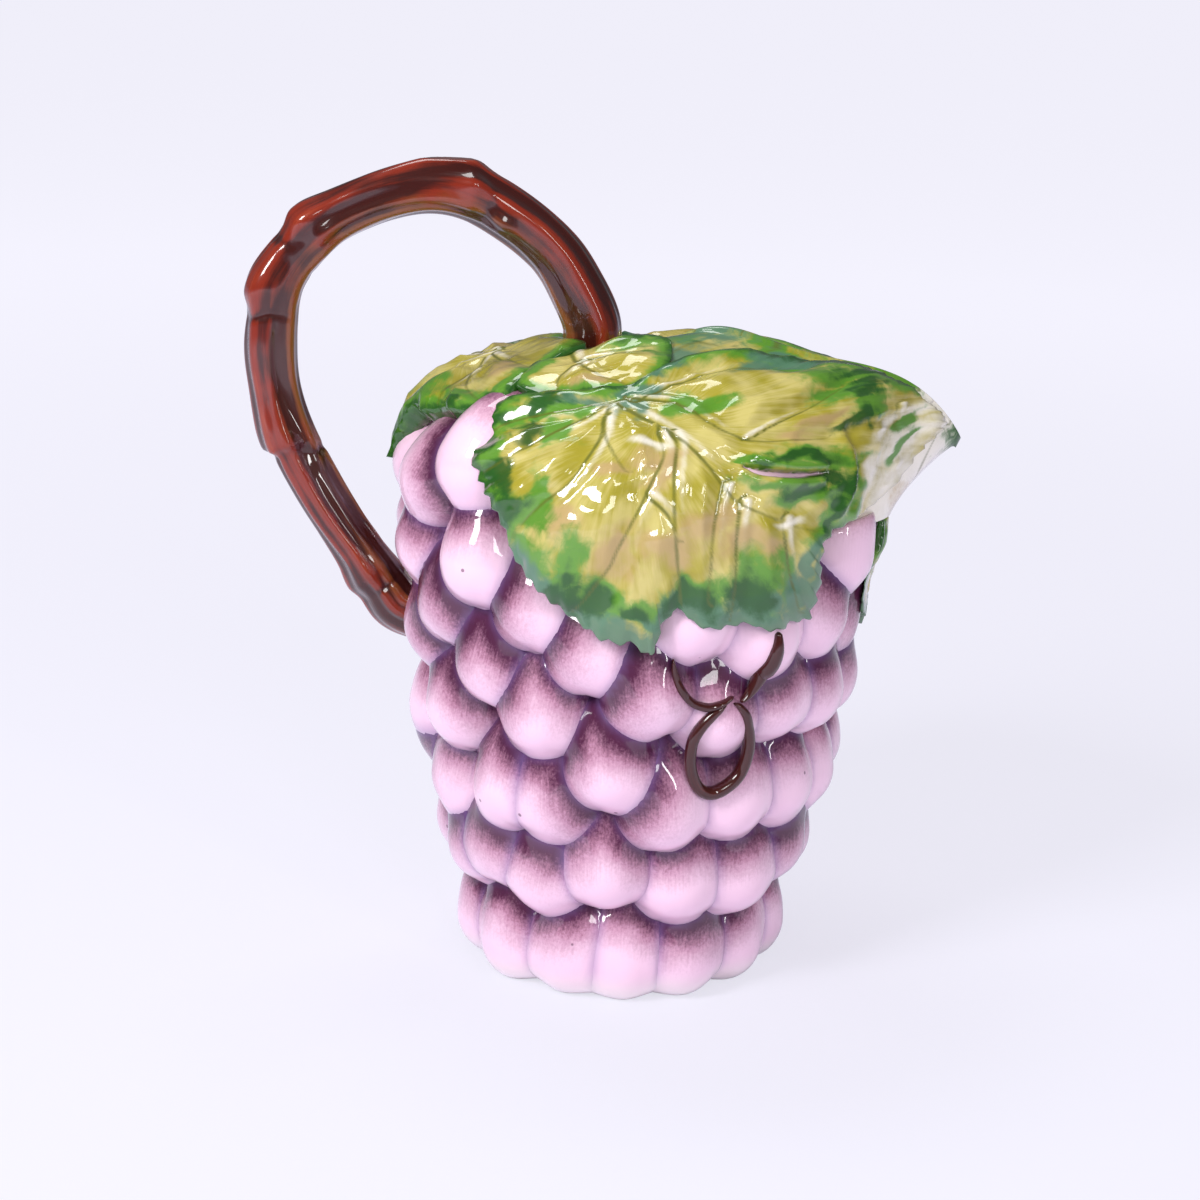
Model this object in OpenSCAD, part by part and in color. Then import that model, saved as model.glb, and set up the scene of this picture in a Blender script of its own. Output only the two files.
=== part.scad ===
// Pitcher in the shape of a bunch of grapes: a cup clad in pressed grapes, vine leaves over the
// shoulder, a beak spout and a handle in the shape of a vine branch. Each piece is separately
// made clay, laid against its neighbours. Millimetres, +Z up, the origin at the centre of the
// foot, +X towards the spout.

/* [Cup] */
// Height of the cup wall, from the foot to the seam with the shoulder
cup_h = 142; // [115:1:175]
// Outer radius of the cup wall at the foot
foot_r = 32.5; // [27:0.5:42]
// Outer radius of the cup wall at the shoulder seam
cup_r = 58.5; // [50:0.5:70]
// How far the wall stands outside a straight cone, halfway up
cup_belly = 4; // [0:0.5:8]
// Thickness of the wall
wall = 5; // [3.5:0.25:7]
// Thickness of the floor
floor_t = 6; // [4:0.5:10]

/* [Grapes] */
// Radius of a grape's lower lobe, half its width
grape_r = 12.6; // [10:0.1:15]
// Radius of a grape's upper lobe
grape_top_r = 11.8; // [9:0.1:14]
// How far the upper lobe's middle lies above the lower one's
grape_rise = 8; // [5:0.25:11]
// How far a grape's middle stands out from its flat back
grape_seat = 1.5; // [0.8:0.1:4]
// How deep the lowest grapes are pressed flat by the table
grape_flat = 1; // [0.5:0.1:2]

/* [Shoulder and spout] */
// Height of the dome from the cup's seam to the mouth rim
shoulder_h = 44; // [36:1:56]
// Distance of the spout's tip from the jug's axis
spout_reach = 93; // [85:1:105]
// How far the spout's tip lies below the mouth rim
spout_drop = 26; // [20:1:34]
// How far the mouth rim dips on the far side
far_dip = 10; // [0:0.5:14]
// Distance of the mouth's back end from the jug's axis, towards the spout
mouth_back = 2; // [0:0.5:6]
// Width of the mouth
mouth_w = 40; // [30:1:50]
// Width of the rim
lip = 4; // [3:0.25:5]

/* [Leaves] */
// Thickness of a leaf
leaf_t = 2.4; // [1.5:0.1:4]
// Height of the teeth along a leaf's edge
leaf_tooth = 2.2; // [0:0.1:3.5]

/* [Handle] */
// Radius of the branch
branch_r = 7.6; // [5.5:0.1:9]
// How far the knots stand out from the branch
knot_h = 1.6; // [0:0.1:3]
// How far the handle's outer bend lies from the jug's axis
handle_reach = 108; // [98:1:125]
// Height of the top of the branch's centreline above the mouth rim
handle_rise = 41; // [30:1:50]

/* [Tendrils] */
// Radius of a tendril
tendril_r = 1.2; // [0.8:0.05:1.8]

/* [Hidden] */

// Clearances between separate pieces
fit = 0.3;
leaf_gap = 0.8;
tendril_gap = 0.4;

// Fineness of the shapes
$fn = 48;
wall_steps = 6;
dome_steps = 8;
dome_turns = 40;
spout_turns = 12;
leaf_rings = 5;
edge_steps = 4;
branch_sides = 10;
branch_steps = 3;
tendril_sides = 6;
tendril_steps = 3;

// Glaze colours
cream = "ivory";
grape_pink = "plum";
leaf_green = "olivedrab";
branch_brown = "brown";

rim_h = cup_h + shoulder_h;

// Outer radius of the cup wall at height z
function in_cup(z) = min(max(z, 0), cup_h);
function wall_r(z) =
    let (h = in_cup(z)) foot_r + (cup_r - foot_r)*h/cup_h + cup_belly*sin(180*h/cup_h);

// Outermost radius of the grapes at height z
grape_out = fit + grape_seat;
function cluster_r(z) = wall_r(z) + grape_out + grape_r;

// Catmull-Rom curve through hand-set points
function curve_point(a, b, c, d, t) =
    0.5*(2*b + (c - a)*t + (2*a - 5*b + 4*c - d)*t*t + (3*b - a - 3*c + d)*t*t*t);
function curve(p, steps) = let (last = len(p) - 1) [
    for (i = [0:last - 1]) for (k = [0:steps - 1])
        curve_point(p[max(i - 1, 0)], p[i], p[i + 1], p[min(i + 2, last)], k/steps),
    p[last]
];

// Closed skin over rings of equal point count, with a point closing each end
module closed_skin(rings, first, last) {
    n = len(rings[0]);
    count = len(rings);
    end = count*n + 1;
    polyhedron(
        points = concat([first], [for (r = rings) each r], [last]),
        faces = concat(
            [for (i = [0:n - 1]) [0, 1 + i, 1 + (i + 1)%n]],
            [for (k = [0:count - 2]) for (i = [0:n - 1])
                let (a = 1 + k*n + i, b = 1 + k*n + (i + 1)%n)
                each [[a, a + n, b + n], [a, b + n, b]]],
            [for (i = [0:n - 1]) let (s = 1 + (count - 1)*n) [end, s + (i + 1)%n, s + i]]
        )
    );
}

// Cup

module cup() {
    color(cream)
    rotate_extrude()
        polygon(concat(
            [[0, 0]],
            [for (k = [0:wall_steps]) let (z = cup_h*k/wall_steps) [wall_r(z), z]],
            [for (k = [wall_steps:-1:0])
                let (z = floor_t + (cup_h - floor_t)*k/wall_steps) [wall_r(z) - wall, z]],
            [[0, floor_t]]
        ));
}

// Grapes: each row lists its grapes on the near side as [angle from the near side towards the
// spout, lift above the row's height]. The far side mirrors them, apart from those at 90 degrees.
row_at = [0, 0.2, 0.37, 0.56, 0.69, 0.8, 1];
row_grapes = [
    [[-78, 0.5], [-51, 0], [-25, 0.5], [-2, 0], [23, 0.5], [51, 0], [77, 0.5]],
    [[-90, 1], [-67, 0], [-51, 4], [-32, -1], [-10, 4], [16, -1], [39, -1], [58, 5], [79, 1]],
    [[-90, 4], [-72, -4], [-44, 1], [-27, 0], [-9, 13], [7, 1], [30, 2], [51, 2], [72, 0], [90, 4]],
    [[-90, -13], [-64, -6], [-31, 0], [-16, 21], [0, 10], [20, 3], [39, 5], [56, 4], [76, 3]],
    [[-76, -3], [-47, -6], [10, 14], [30, 8], [51, 10], [71, 5], [90, 7]],
    [[-76, 6], [-62, -7], [-48, 8], [-32, -2], [60, 6], [79, 2]],
    [[-90, -2], [-70, -2], [-51, 6]]
];
row_low = -grape_flat;
row_high = cup_h - 4;
function row_z(r) = row_low + (row_high - row_low)*row_at[r];
grapes = [for (r = [0:len(row_grapes) - 1]) for (g = row_grapes[r]) [r, g[0], row_z(r) + g[1]]];
function on_seam(g) = abs(g[1]) == 90;
// Angle from which grapes may reach their mirror images
seam_from = 60;

function unit(v) = v/norm(v);
function outward(angle) = [sin(angle), -cos(angle), 0];
function around(angle, radius, z) = radius*outward(angle) + [0, 0, z];
grape_l = grape_r + grape_rise + grape_top_r;
function low_lobe(g) = let (z = g[2] + grape_r) around(g[1], cluster_r(z) - grape_r, z);
function high_lobe(g) =
    let (z = g[2] + grape_r + grape_rise) around(g[1], cluster_r(z) - grape_top_r, z);
function grape_mid(g) = let (z = g[2] + grape_l/2) around(g[1], wall_r(z) + grape_out, z);
function slope(z) = (wall_r(z + 1) - wall_r(z - 1))/2;

// How far the upper of two grapes leans out over the lower one
tuck = 0.6;
function meets(g, h) = let (d = grape_mid(h) - grape_mid(g))
    g != h && norm([d[0], d[1], d[2]*2*grape_r/grape_l]) < 2*grape_r;
function lean(low, high) = high[0] > low[0] ? tuck : 0;
function parting(low, high) =
    unit(unit(grape_mid(high) - grape_mid(low)) + lean(low, high)*outward((low[1] + high[1])/2));

// All that lies beyond a plane
module beyond(point, normal) {
    reach = 3*grape_l;
    translate(point)
    rotate([0, acos(normal[2]), atan2(normal[1], normal[0])])
    translate([-reach/2, -reach/2, 0]) cube(reach);
}

// What grape h, which lies later or earlier in the list, takes from grape g
module parted(g, h, later) {
    n = later ? parting(g, h) : -parting(h, g);
    beyond((grape_mid(g) + grape_mid(h))/2 - n*fit/2, n);
}

module grape_form(g) {
    translate(low_lobe(g)) sphere(grape_r);
    translate(high_lobe(g)) sphere(grape_top_r);
}

// A grape, pressed flat against the wall, its neighbours, the table and the leaves above it
module grape(i) {
    g = grapes[i];
    mid = grape_mid(g);
    seat = unit(outward(g[1]) - [0, 0, slope(mid[2])]);
    root = [-cluster_r(root_z), 0, root_z];
    to_root = unit([0, -mid[1], root_z - mid[2]]);
    difference() {
        grape_form(g);
        beyond(mid - grape_seat*outward(g[1]), -seat);
        for (j = [0:len(grapes) - 1])
            if (meets(g, grapes[j])) {
                parted(g, grapes[j], j > i);
                if (on_seam(g) && !on_seam(grapes[j])) mirror([0, 1, 0]) parted(g, grapes[j], j > i);
            }
        if (g[2] < grape_r) beyond([0, 0, 0], [0, 0, -1]);
        if (!on_seam(g) && abs(g[1]) > seam_from) beyond([mid[0], -fit/2, mid[2]], [0, 1, 0]);
        if (g[2] + grape_l > cup_h)
            if (turn_off(g[1] - 90) < spout_foot) beyond([mid[0], mid[1], cup_h - fit], [0, 0, 1]);
            else under_bed(g[1]);
        if (norm(root - mid) < grape_l/2 + root_room) beyond(root - root_room*to_root, to_root);
    }
}

module grape_row(r) {
    color(grape_pink)
    for (i = [0:len(grapes) - 1])
        if (grapes[i][0] == r) {
            grape(i);
            if (!on_seam(grapes[i])) mirror([0, 1, 0]) grape(i);
        }
}

module grape_row_1() { grape_row(0); }
module grape_row_2() { grape_row(1); }
module grape_row_3() { grape_row(2); }
module grape_row_4() { grape_row(3); }
module grape_row_5() { grape_row(4); }
module grape_row_6() { grape_row(5); }
module grape_row_7() { grape_row(6); }

// Shoulder and spout: a dome that runs from a circle to the mouth rim. A turn of 0 faces +X.

spout_half = 40;
spout_foot = 55;
dome_power = 3.2;
flank_power = 1.3;
rim_power = 6;
dip_power = 3;
dip_spread = 1.25;
mouth_mid = (spout_reach + mouth_back)/2;
mouth_half = (spout_reach - mouth_back)/2;

function turn_off(turn) = abs(turn > 180 ? turn - 360 : turn < -180 ? turn + 360 : turn);
function ease(f) = let (c = min(max(f, 0), 1)) c*c*(3 - 2*c);
function power_at(turn, roof) = flank_power + (roof - flank_power)*ease((turn_off(turn) - 15)/60);

// Mouth rim, pear-shaped in plan, drawn in by inset
function dip(turn) = far_dip*ease(dip_spread*sin(turn));
function rim_z(x) =
    rim_h - spout_drop*pow(max(x - mouth_back, 0)/(spout_reach - mouth_back), rim_power);
function rim(turn, inset) = let (x = mouth_mid + mouth_half*cos(turn)) [
    mouth_mid + (mouth_half - inset)*cos(turn),
    (mouth_w/2 - inset)*sin(turn)*(0.8 - 0.3*cos(turn)),
    rim_z(x) - dip(turn)
];
// Point on the dome: rise runs from 0 at the circle to 1 at the rim
function dome(turn, rise, radius, low, edge, power) = let (
    p = power_at(turn, power),
    in = 1 - pow(cos(90*rise), 2/p),
    up = pow(sin(90*rise), 2/p)
) [
    radius*cos(turn)*(1 - in) + edge[0]*in,
    radius*sin(turn)*(1 - in) + edge[1]*in,
    low + (edge[2] + dip(turn) - low)*up - dip(turn)*pow(rise, dip_power)
];

// The dome stands on the cup's wall, and under the spout it reaches out over the grapes
function dome_r(turn) = cup_r + (grape_out + grape_r)*ease((spout_foot - turn_off(turn))/spout_half);
function outer_wall(turn) = concat(
    [for (k = [0:dome_steps]) dome(turn, k/dome_steps, dome_r(turn), cup_h, rim(turn, 0), dome_power)],
    [rim(turn, lip/4) + [0, 0, lip/4]]
);
function inner_wall(turn) = concat(
    [for (k = [0:dome_steps])
        dome(turn, k/dome_steps, cup_r - wall, cup_h, rim(turn, lip) - [0, 0, wall], dome_power)],
    [rim(turn, 3*lip/4) + [0, 0, lip/4]]
);

// Part of the dome between two turns
module dome_part(from, to, turns) {
    rows = dome_steps + 2;
    n = 2*rows;
    function outer(k) = n - 1 - k;
    polyhedron(
        points = [for (s = [0:turns]) let (turn = from + (to - from)*s/turns)
            each concat(inner_wall(turn), [for (k = [rows - 1:-1:0]) outer_wall(turn)[k]])],
        faces = concat(
            [for (k = [0:rows - 2]) each [[k, outer(k + 1), outer(k)], [k, k + 1, outer(k + 1)]]],
            [for (s = [0:turns - 1]) for (i = [0:n - 1])
                let (a = s*n + i, b = s*n + (i + 1)%n)
                each [[a, a + n, b + n], [a, b + n, b]]],
            [for (k = [0:rows - 2]) let (e = turns*n)
                each [[e + k, e + outer(k), e + outer(k + 1)], [e + k, e + outer(k + 1), e + k + 1]]]
        )
    );
}

module shoulder() {
    color(cream) dome_part(spout_half, 360 - spout_half, dome_turns);
}

module spout() {
    color(leaf_green) dome_part(-spout_half, spout_half, spout_turns);
}

// Leaves lie on a bed: the grapes' outside below the skirt line, and a dome over it above.
// A leaf's outline is listed as [across, down] from the near side at the skirt line, in
// hundredths of the jug's radius there, anticlockwise as seen from outside.

skirt_z = cup_h - 2;
skirt_r = cluster_r(skirt_z);
hundredth = skirt_r/100;
quarter = 50*PI;
bed_power = 2.6;
bed_slack = 1.15;

function bed(across, down) = let (
    turn = across/skirt_r*180/PI - 90,
    z = skirt_z - down,
    edge = rim(turn, 0),
    level = edge + [0, 0, dip(turn)],
    run = bed_slack*norm(level - [skirt_r*cos(turn), skirt_r*sin(turn), skirt_z])
) down >= 0
    ? [cluster_r(z)*cos(turn), cluster_r(z)*sin(turn), z]
    : dome(turn, min(-down/run, 1), skirt_r, skirt_z, edge, bed_power);

probe = 0.5;
function bed_normal(p) = let (
    side = bed(p[0] + probe, p[1]) - bed(p[0] - probe, p[1]),
    fall = bed(p[0], p[1] + probe) - bed(p[0], p[1] - probe),
    n = cross(fall, side)
) n/norm(n);
function off_bed(p, h) = bed(p[0], p[1]) + h*bed_normal(p);

// The outline with teeth between its points, lower where it runs towards the stalk
function toothed(p, stalk) = [for (i = [0:len(p) - 1]) let (
    a = p[i],
    b = p[(i + 1)%len(p)],
    out = unit([a[1] - b[1], b[0] - a[0]]),
    tooth = leaf_tooth*abs(out*unit((a + b)/2 - stalk))
) for (k = [0:edge_steps - 1]) a + (b - a)*k/edge_steps - out*tooth*(k%2)];

module leaf(stalk_at, outline) {
    stalk = stalk_at*hundredth;
    edge = toothed(outline*hundredth, stalk);
    function ring(k, h) = [for (e = edge) off_bed(stalk + (e - stalk)*k/leaf_rings, h)];
    color(leaf_green)
    closed_skin(
        concat(
            [for (k = [1:leaf_rings]) ring(k, leaf_gap)],
            [for (k = [leaf_rings:-1:1]) ring(k, leaf_gap + leaf_t)]
        ),
        off_bed(stalk, leaf_gap),
        off_bed(stalk, leaf_gap + leaf_t)
    );
}

// The same outline over on the far side
function far_point(p) = [2*quarter - p[0], p[1]];
function far_side(outline) = [for (i = [len(outline) - 1:-1:0]) far_point(outline[i])];

front_stalk = [-19, -68];
front_outline = [
    [-11, -130], [-30, -129], [-38, -118], [-41, -104], [-42, -93], [-55, -85], [-71, -78], [-86, -64],
    [-86, -51], [-84, -38], [-77, -25], [-64, -10], [-55, 5], [-44, 15], [-29, 27], [-1, 36],
    [7, 19], [18, 26], [49, 27], [66, 25], [68, -4], [88, -16], [107, -30], [110, -58],
    [99, -73], [79, -90], [60, -105], [41, -116], [19, -125]
];
module front_leaf() { leaf(front_stalk, front_outline); }
module back_leaf() { leaf(far_point(front_stalk), far_side(front_outline)); }

root_stalk = [-74, -101];
root_outline = [
    [-47, -105], [-58, -115], [-74, -122], [-92, -121], [-103, -110], [-99, -95], [-90, -82], [-77, -82],
    [-60, -88], [-48, -96]
];
module root_leaf() { leaf(root_stalk, root_outline); }
module far_root_leaf() { leaf(far_point(root_stalk), far_side(root_outline)); }

// Leaves that are alike on both sides of a middle line: one side runs from the tip to the top
function both_sides(mid, tip, side, top) = concat(
    [for (i = [len(side) - 1:-1:0]) [mid - side[i][0], side[i][1]]],
    [[mid, tip]],
    [for (p = side) [mid + p[0], p[1]]],
    [[mid, top]]
);

handle_leaf_side = [
    [11, -33], [16, -49], [27, -51], [38, -55], [55, -58], [64, -71], [56, -82], [51, -99],
    [41, -110], [19, -110]
];
module handle_leaf() {
    leaf([-quarter, -82], both_sides(-quarter, -16, handle_leaf_side, -108));
}

under_leaf_side = [
    [19, 33], [33, 38], [38, 22], [33, 3], [22, -14]
];
module under_leaf() {
    leaf([quarter, 0], both_sides(quarter, 49, under_leaf_side, -19));
}

// What lies above a chord of the leaves' bed at a grape's angle
chord_high = 34;
chord_low = 12;
module under_bed(angle) {
    across = angle*PI/180*skirt_r;
    high = bed(across, -chord_high);
    low = bed(across, -chord_low);
    chord = unit(low - high);
    beyond(low, unit(cross(chord, cross(outward(angle), chord))));
}

// Handle: a branch in the plane of the spout. Its line is hand-set as shares of its reach and
// height, first from the upper root over to the outer bend, then down to the lower root.

root_x = -16;
root_at = 0.732;
root_z = root_at*cup_h;
root_room = branch_r + knot_h + fit;
root_wall = wall_r(root_z + branch_r) + fit;
root_end = 2;
branch_over = [
    [0, 0.12], [0.05, 0.377], [0.128, 0.629], [0.25, 0.848], [0.38, 0.986], [0.515, 1], [0.66, 0.924],
    [0.79, 0.781], [0.89, 0.61], [0.98, 0.344], [1, 0.049]
];
branch_down = [
    [1, 0.878], [0.943, 0.719], [0.866, 0.585], [0.751, 0.439], [0.618, 0.318], [0.465, 0.195],
    [0.312, 0.085], [0.159, 0.012]
];
branch_line = concat(
    [[root_x, rim_h + fit]],
    [for (p = branch_over) [root_x - (handle_reach + root_x)*p[0], rim_h + handle_rise*p[1]]],
    [for (p = branch_down)
        [-root_wall - (handle_reach - root_wall)*p[0], root_z + (rim_h - root_z)*p[1]]],
    [[-root_wall - root_end, root_z], [-root_wall, root_z]]
);
knots = [4.5, 8.6, 10.6, 14.4, 17.5];
knot_span = 0.55;
function swell(s) = knot_h*max([for (k = knots) exp(-pow((s - k)/knot_span, 2))]);

module handle() {
    line = curve(branch_line, branch_steps);
    last = len(line) - 1;
    function point(k) = [line[k][0], 0, line[k][1]];
    function along(k) = point(min(k + 1, last)) - point(max(k - 1, 0));
    function ring(k) = let (
        across = cross([0, 1, 0], along(k)/norm(along(k))),
        r = branch_r + swell(k/branch_steps)
    ) [for (i = [0:branch_sides - 1]) let (a = 360*i/branch_sides)
        point(k) + r*cos(a)*across + r*sin(a)*[0, 1, 0]];
    color(branch_brown) closed_skin([for (k = [0:last]) ring(k)], point(0), point(last));
}

// Tendrils lie over the grapes, along hand-set lines of [angle, share of the skirt's height]

function over_grapes(p) =
    let (z = p[1]*skirt_z) around(p[0], cluster_r(z) + tendril_gap + tendril_r, z);

module tendril(points) {
    line = [for (p = curve(points, tendril_steps)) over_grapes(p)];
    last = len(line) - 1;
    function ring(k) = let (
        run = line[min(k + 1, last)] - line[max(k - 1, 0)],
        t = run/norm(run),
        o = [line[k][0], line[k][1], 0],
        side = cross(t, o)/norm(cross(t, o)),
        up = cross(side, t)
    ) [for (i = [0:tendril_sides - 1]) let (a = 360*i/tendril_sides)
        line[k] + tendril_r*cos(a)*up + tendril_r*sin(a)*side];
    color(branch_brown) closed_skin([for (k = [0:last]) ring(k)], line[0], line[last]);
}

module tendril_blade() {
    tendril([[28, 0.83], [28.5, 0.8], [27.5, 0.764], [25.5, 0.729]]);
}
module tendril_hook() {
    tendril([[5, 0.786], [7, 0.743], [10, 0.707], [14, 0.693], [17.5, 0.7], [19, 0.721]]);
}
module tendril_loop() {
    tendril([
        [22, 0.686], [25, 0.657], [27.5, 0.6], [26, 0.543], [22, 0.514], [17, 0.507], [13, 0.529],
        [11, 0.571], [11, 0.621], [14, 0.657], [17.5, 0.668]
    ]);
}

cup();
grape_row_1();
grape_row_2();
grape_row_3();
grape_row_4();
grape_row_5();
grape_row_6();
grape_row_7();
shoulder();
spout();
front_leaf();
back_leaf();
root_leaf();
far_root_leaf();
handle_leaf();
under_leaf();
handle();
tendril_blade();
tendril_hook();
tendril_loop();
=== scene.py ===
import itertools

import bpy
import numpy as np
from mathutils import Matrix, Vector


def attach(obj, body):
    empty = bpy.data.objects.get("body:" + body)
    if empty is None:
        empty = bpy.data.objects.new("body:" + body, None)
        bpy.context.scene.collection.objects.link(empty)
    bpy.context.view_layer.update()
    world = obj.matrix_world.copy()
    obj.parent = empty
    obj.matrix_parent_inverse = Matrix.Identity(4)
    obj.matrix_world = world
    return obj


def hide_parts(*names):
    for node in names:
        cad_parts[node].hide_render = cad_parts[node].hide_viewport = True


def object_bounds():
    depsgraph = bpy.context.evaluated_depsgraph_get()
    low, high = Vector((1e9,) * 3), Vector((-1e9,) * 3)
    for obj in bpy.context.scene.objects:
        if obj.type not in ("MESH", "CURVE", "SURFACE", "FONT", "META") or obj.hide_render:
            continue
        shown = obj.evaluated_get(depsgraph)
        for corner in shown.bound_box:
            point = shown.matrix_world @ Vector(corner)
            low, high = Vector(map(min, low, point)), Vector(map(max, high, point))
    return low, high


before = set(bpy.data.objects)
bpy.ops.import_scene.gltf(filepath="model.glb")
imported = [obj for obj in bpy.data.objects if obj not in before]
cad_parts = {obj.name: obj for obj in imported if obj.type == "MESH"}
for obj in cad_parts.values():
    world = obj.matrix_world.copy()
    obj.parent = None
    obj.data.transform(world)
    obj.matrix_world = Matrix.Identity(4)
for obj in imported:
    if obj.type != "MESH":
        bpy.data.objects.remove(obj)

bl_info = {
    "name": "Grape Cluster Pitcher",
    "version": (1, 0, 0),
    "blender": (4, 5, 0),
    "location": "3D View > Sidebar > Pitcher",
    "description": "Glazed grapes, vine leaves, a beak spout and a branch handle on the pitcher's solids",
    "category": "Add Mesh",
}

CAD_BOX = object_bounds()
MM = 0.001


def linear(code):
    """An sRGB hex colour as linear red, green and blue."""
    srgb = [int(code[i:i + 2], 16)/255 for i in (1, 3, 5)]
    return tuple(c/12.92 if c <= 0.04045 else ((c + 0.055)/1.055)**2.4 for c in srgb)


def length(name, description, millimetres):
    return bpy.props.FloatProperty(
        name=name, description=description, default=millimetres*MM, unit="LENGTH", precision=4)


def colour(name, description, code):
    return bpy.props.FloatVectorProperty(
        name=name, description=description, default=linear(code), subtype="COLOR", size=3, min=0, max=1)


class PitcherSizes(bpy.types.PropertyGroup):
    """Sizes of the pressed and modelled clay."""

    grape_width: length("Grape width", "Width of a grape at its widest", 25.8)
    grape_length: length("Grape length", "Length of a grape, its tucked end included", 36.5)
    grape_fillet: length("Grape fillet", "How far the clay fills the seams between grapes", 6.0)
    leaf_lift: length("Leaf lift", "How far a leaf's middle stands above the grapes' outside", 2.3)
    leaf_puff: length("Leaf puff", "How far a leaf swells between its ribs", 3.0)
    leaf_tooth: length("Leaf tooth", "Depth of the teeth along a leaf's edge", 1.9)
    rib_height: length("Rib height", "Height of a leaf's main ribs", 1.2)
    branch_radius: length("Branch radius", "Radius of the handle at its outer bend", 7.2)
    knot_height: length("Knot height", "How far a knot stands out of the branch", 1.7)
    bark_depth: length("Bark depth", "Depth of the grooves modelled along the branch", 0.8)
    tendril_width: length("Tendril width", "Width of a tendril in its middle", 3.4)
    mouth_lip: length("Mouth lip", "Width of the rounded rim of the mouth", 4.0)


class PitcherColours(bpy.types.PropertyGroup):
    """Colours of the glazes, as written for plain light."""

    pink: colour("Grape pink", "Lower two thirds of a grape", "#F1CBE0")
    mauve: colour("Grape mauve", "Soft edge of the plum shading", "#B47E98")
    plum: colour("Grape plum", "Tucked upper end of a grape", "#4C1B3A")
    # Seam colour: painted shade, laid in the seams where the grapes meet
    shade_lavender: colour("Seam lavender", "Glaze pooled between grapes", "#77609A")
    cream: colour("Cream", "Inside, foot and bare tips", "#F4EFE6")
    cream_thin: colour("Thin cream", "Thin places of the glaze inside", "#E7DDCB")
    # Painted shade: the cup's outside shows only in the gaps between grapes, and is painted dark there
    wall: colour("Wall", "Wall where it shows between grapes", "#6D5078")
    leaf_cream: colour("Leaf cream", "Palest parts of a leaf", "#C4B76C")
    leaf_yellow: colour("Leaf yellow", "Middle of a leaf", "#A0952C")
    leaf_tan: colour("Leaf tan", "Rusty patches of a leaf", "#B59A66")
    leaf_green: colour("Leaf green", "Bright green of a leaf's margin", "#4C8A24")
    leaf_dark: colour("Leaf dark green", "Darkest strokes on a leaf's margin", "#1B4F17")
    # Painted reflection: the pale surroundings seen in the glaze over the dark green margins, laid as a grey green
    # colour
    leaf_sky_reflection: colour("Leaf grey green", "Bluish margin of a leaf", "#4F7860")
    leaf_vein: colour("Leaf vein", "Olive line beside a rib", "#5C6119")
    # Besides its brush streaks, the bark is laid darker in its grooves and rings and lighter on its ridges
    bark_red: colour("Bark red", "Body colour of the branch", "#7E2410")
    bark_dark: colour("Bark dark", "Streaks along the branch", "#330C08")
    bark_bright: colour("Bark bright", "Thin places on the branch's ridges", "#963A20")
    bark_ochre: colour("Bark ochre", "Inner side of the handle", "#7A4A22")
    floor: colour("Floor", "Studio floor and air, as the camera sees them", "#F6F5FF")
    paper: colour("Paper", "Matt floor that takes the shadow", "#ECEAFA")
    air: colour("Air", "Soft light from all round", "#F4F2FA")


def sizes():
    return bpy.context.scene.pitcher_sizes


def colours():
    return bpy.context.scene.pitcher_colours


# Forms of the jug in millimetres: the part's sizes, but the rim behind the spout lies 2 mm lower, the near lip
# rises to a crest, and the mouth is a little wider at the nose

CUP_H, FOOT_R, CUP_R, BELLY, WALL = 142.0, 32.5, 58.5, 4.0, 5.0
GRAPE_OUT, GRAPE_R = 1.8, 12.6
RIM_H, SPOUT_REACH, SPOUT_DROP, MOUTH_BACK, MOUTH_W = 184.0, 93.0, 24.0, 2.0, 40.0
RIM_POWER, FLANK_POWER, DOME_POWER, BED_POWER, BED_SLACK = 6, 1.3, 3.2, 2.6, 1.15
SPOUT_HALF, SPOUT_FOOT = 40.0, 55.0
FAR_DIP, DIP_POWER, DIP_SPREAD = 10.0, 3, 1.25
CREST_RISE, CREST_AT, CREST_SPREAD = 7.8, 230.0, 30.0
SKIRT_Z = CUP_H - 2
# A quarter turn along the skirt, from the near side to the spout
QUARTER = np.pi/2*73


def ease(share):
    """A smooth step from 0 to 1."""
    c = np.clip(share, 0, 1)
    return c*c*(3 - 2*c)


def bell(offset):
    """1 in the middle, fading to both sides."""
    return np.exp(-offset**2)


def wall_r(z):
    h = np.clip(z, 0, CUP_H)
    return FOOT_R + (CUP_R - FOOT_R)*h/CUP_H + BELLY*np.sin(np.pi*h/CUP_H)


def cluster_r(z):
    """Outermost radius of the grapes."""
    return wall_r(z) + GRAPE_OUT + GRAPE_R


SKIRT_R = float(cluster_r(SKIRT_Z))


def stack(*parts):
    return np.stack(np.broadcast_arrays(*parts), -1)


def unit(v):
    return v/np.maximum(np.linalg.norm(v, axis=-1, keepdims=True), 1e-9)


def turn_off(turn):
    """Degrees from the spout's direction."""
    return np.abs(np.degrees((turn + np.pi) % (2*np.pi) - np.pi))


def crest(turn):
    """The near lip's crest, 1 at its height."""
    return bell((np.degrees(turn) % 360 - CREST_AT)/CREST_SPREAD)


def dip(turn):
    """How far the rim dips on the far side; the near side's crest rises instead."""
    return FAR_DIP*ease(DIP_SPREAD*np.sin(turn)) - CREST_RISE*crest(turn)


def rim(turn, inset=0.0):
    """The pear-shaped mouth rim."""
    mid, half = (SPOUT_REACH + MOUTH_BACK)/2, (SPOUT_REACH - MOUTH_BACK)/2
    x = mid + half*np.cos(turn)
    out = np.clip(x - MOUTH_BACK, 0, None)/(SPOUT_REACH - MOUTH_BACK)
    return stack(
        mid + (half - inset)*np.cos(turn),
        (MOUTH_W/2 - inset)*np.sin(turn)*(0.8 - 0.22*np.cos(turn)),
        RIM_H - SPOUT_DROP*out**RIM_POWER - dip(turn))


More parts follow.
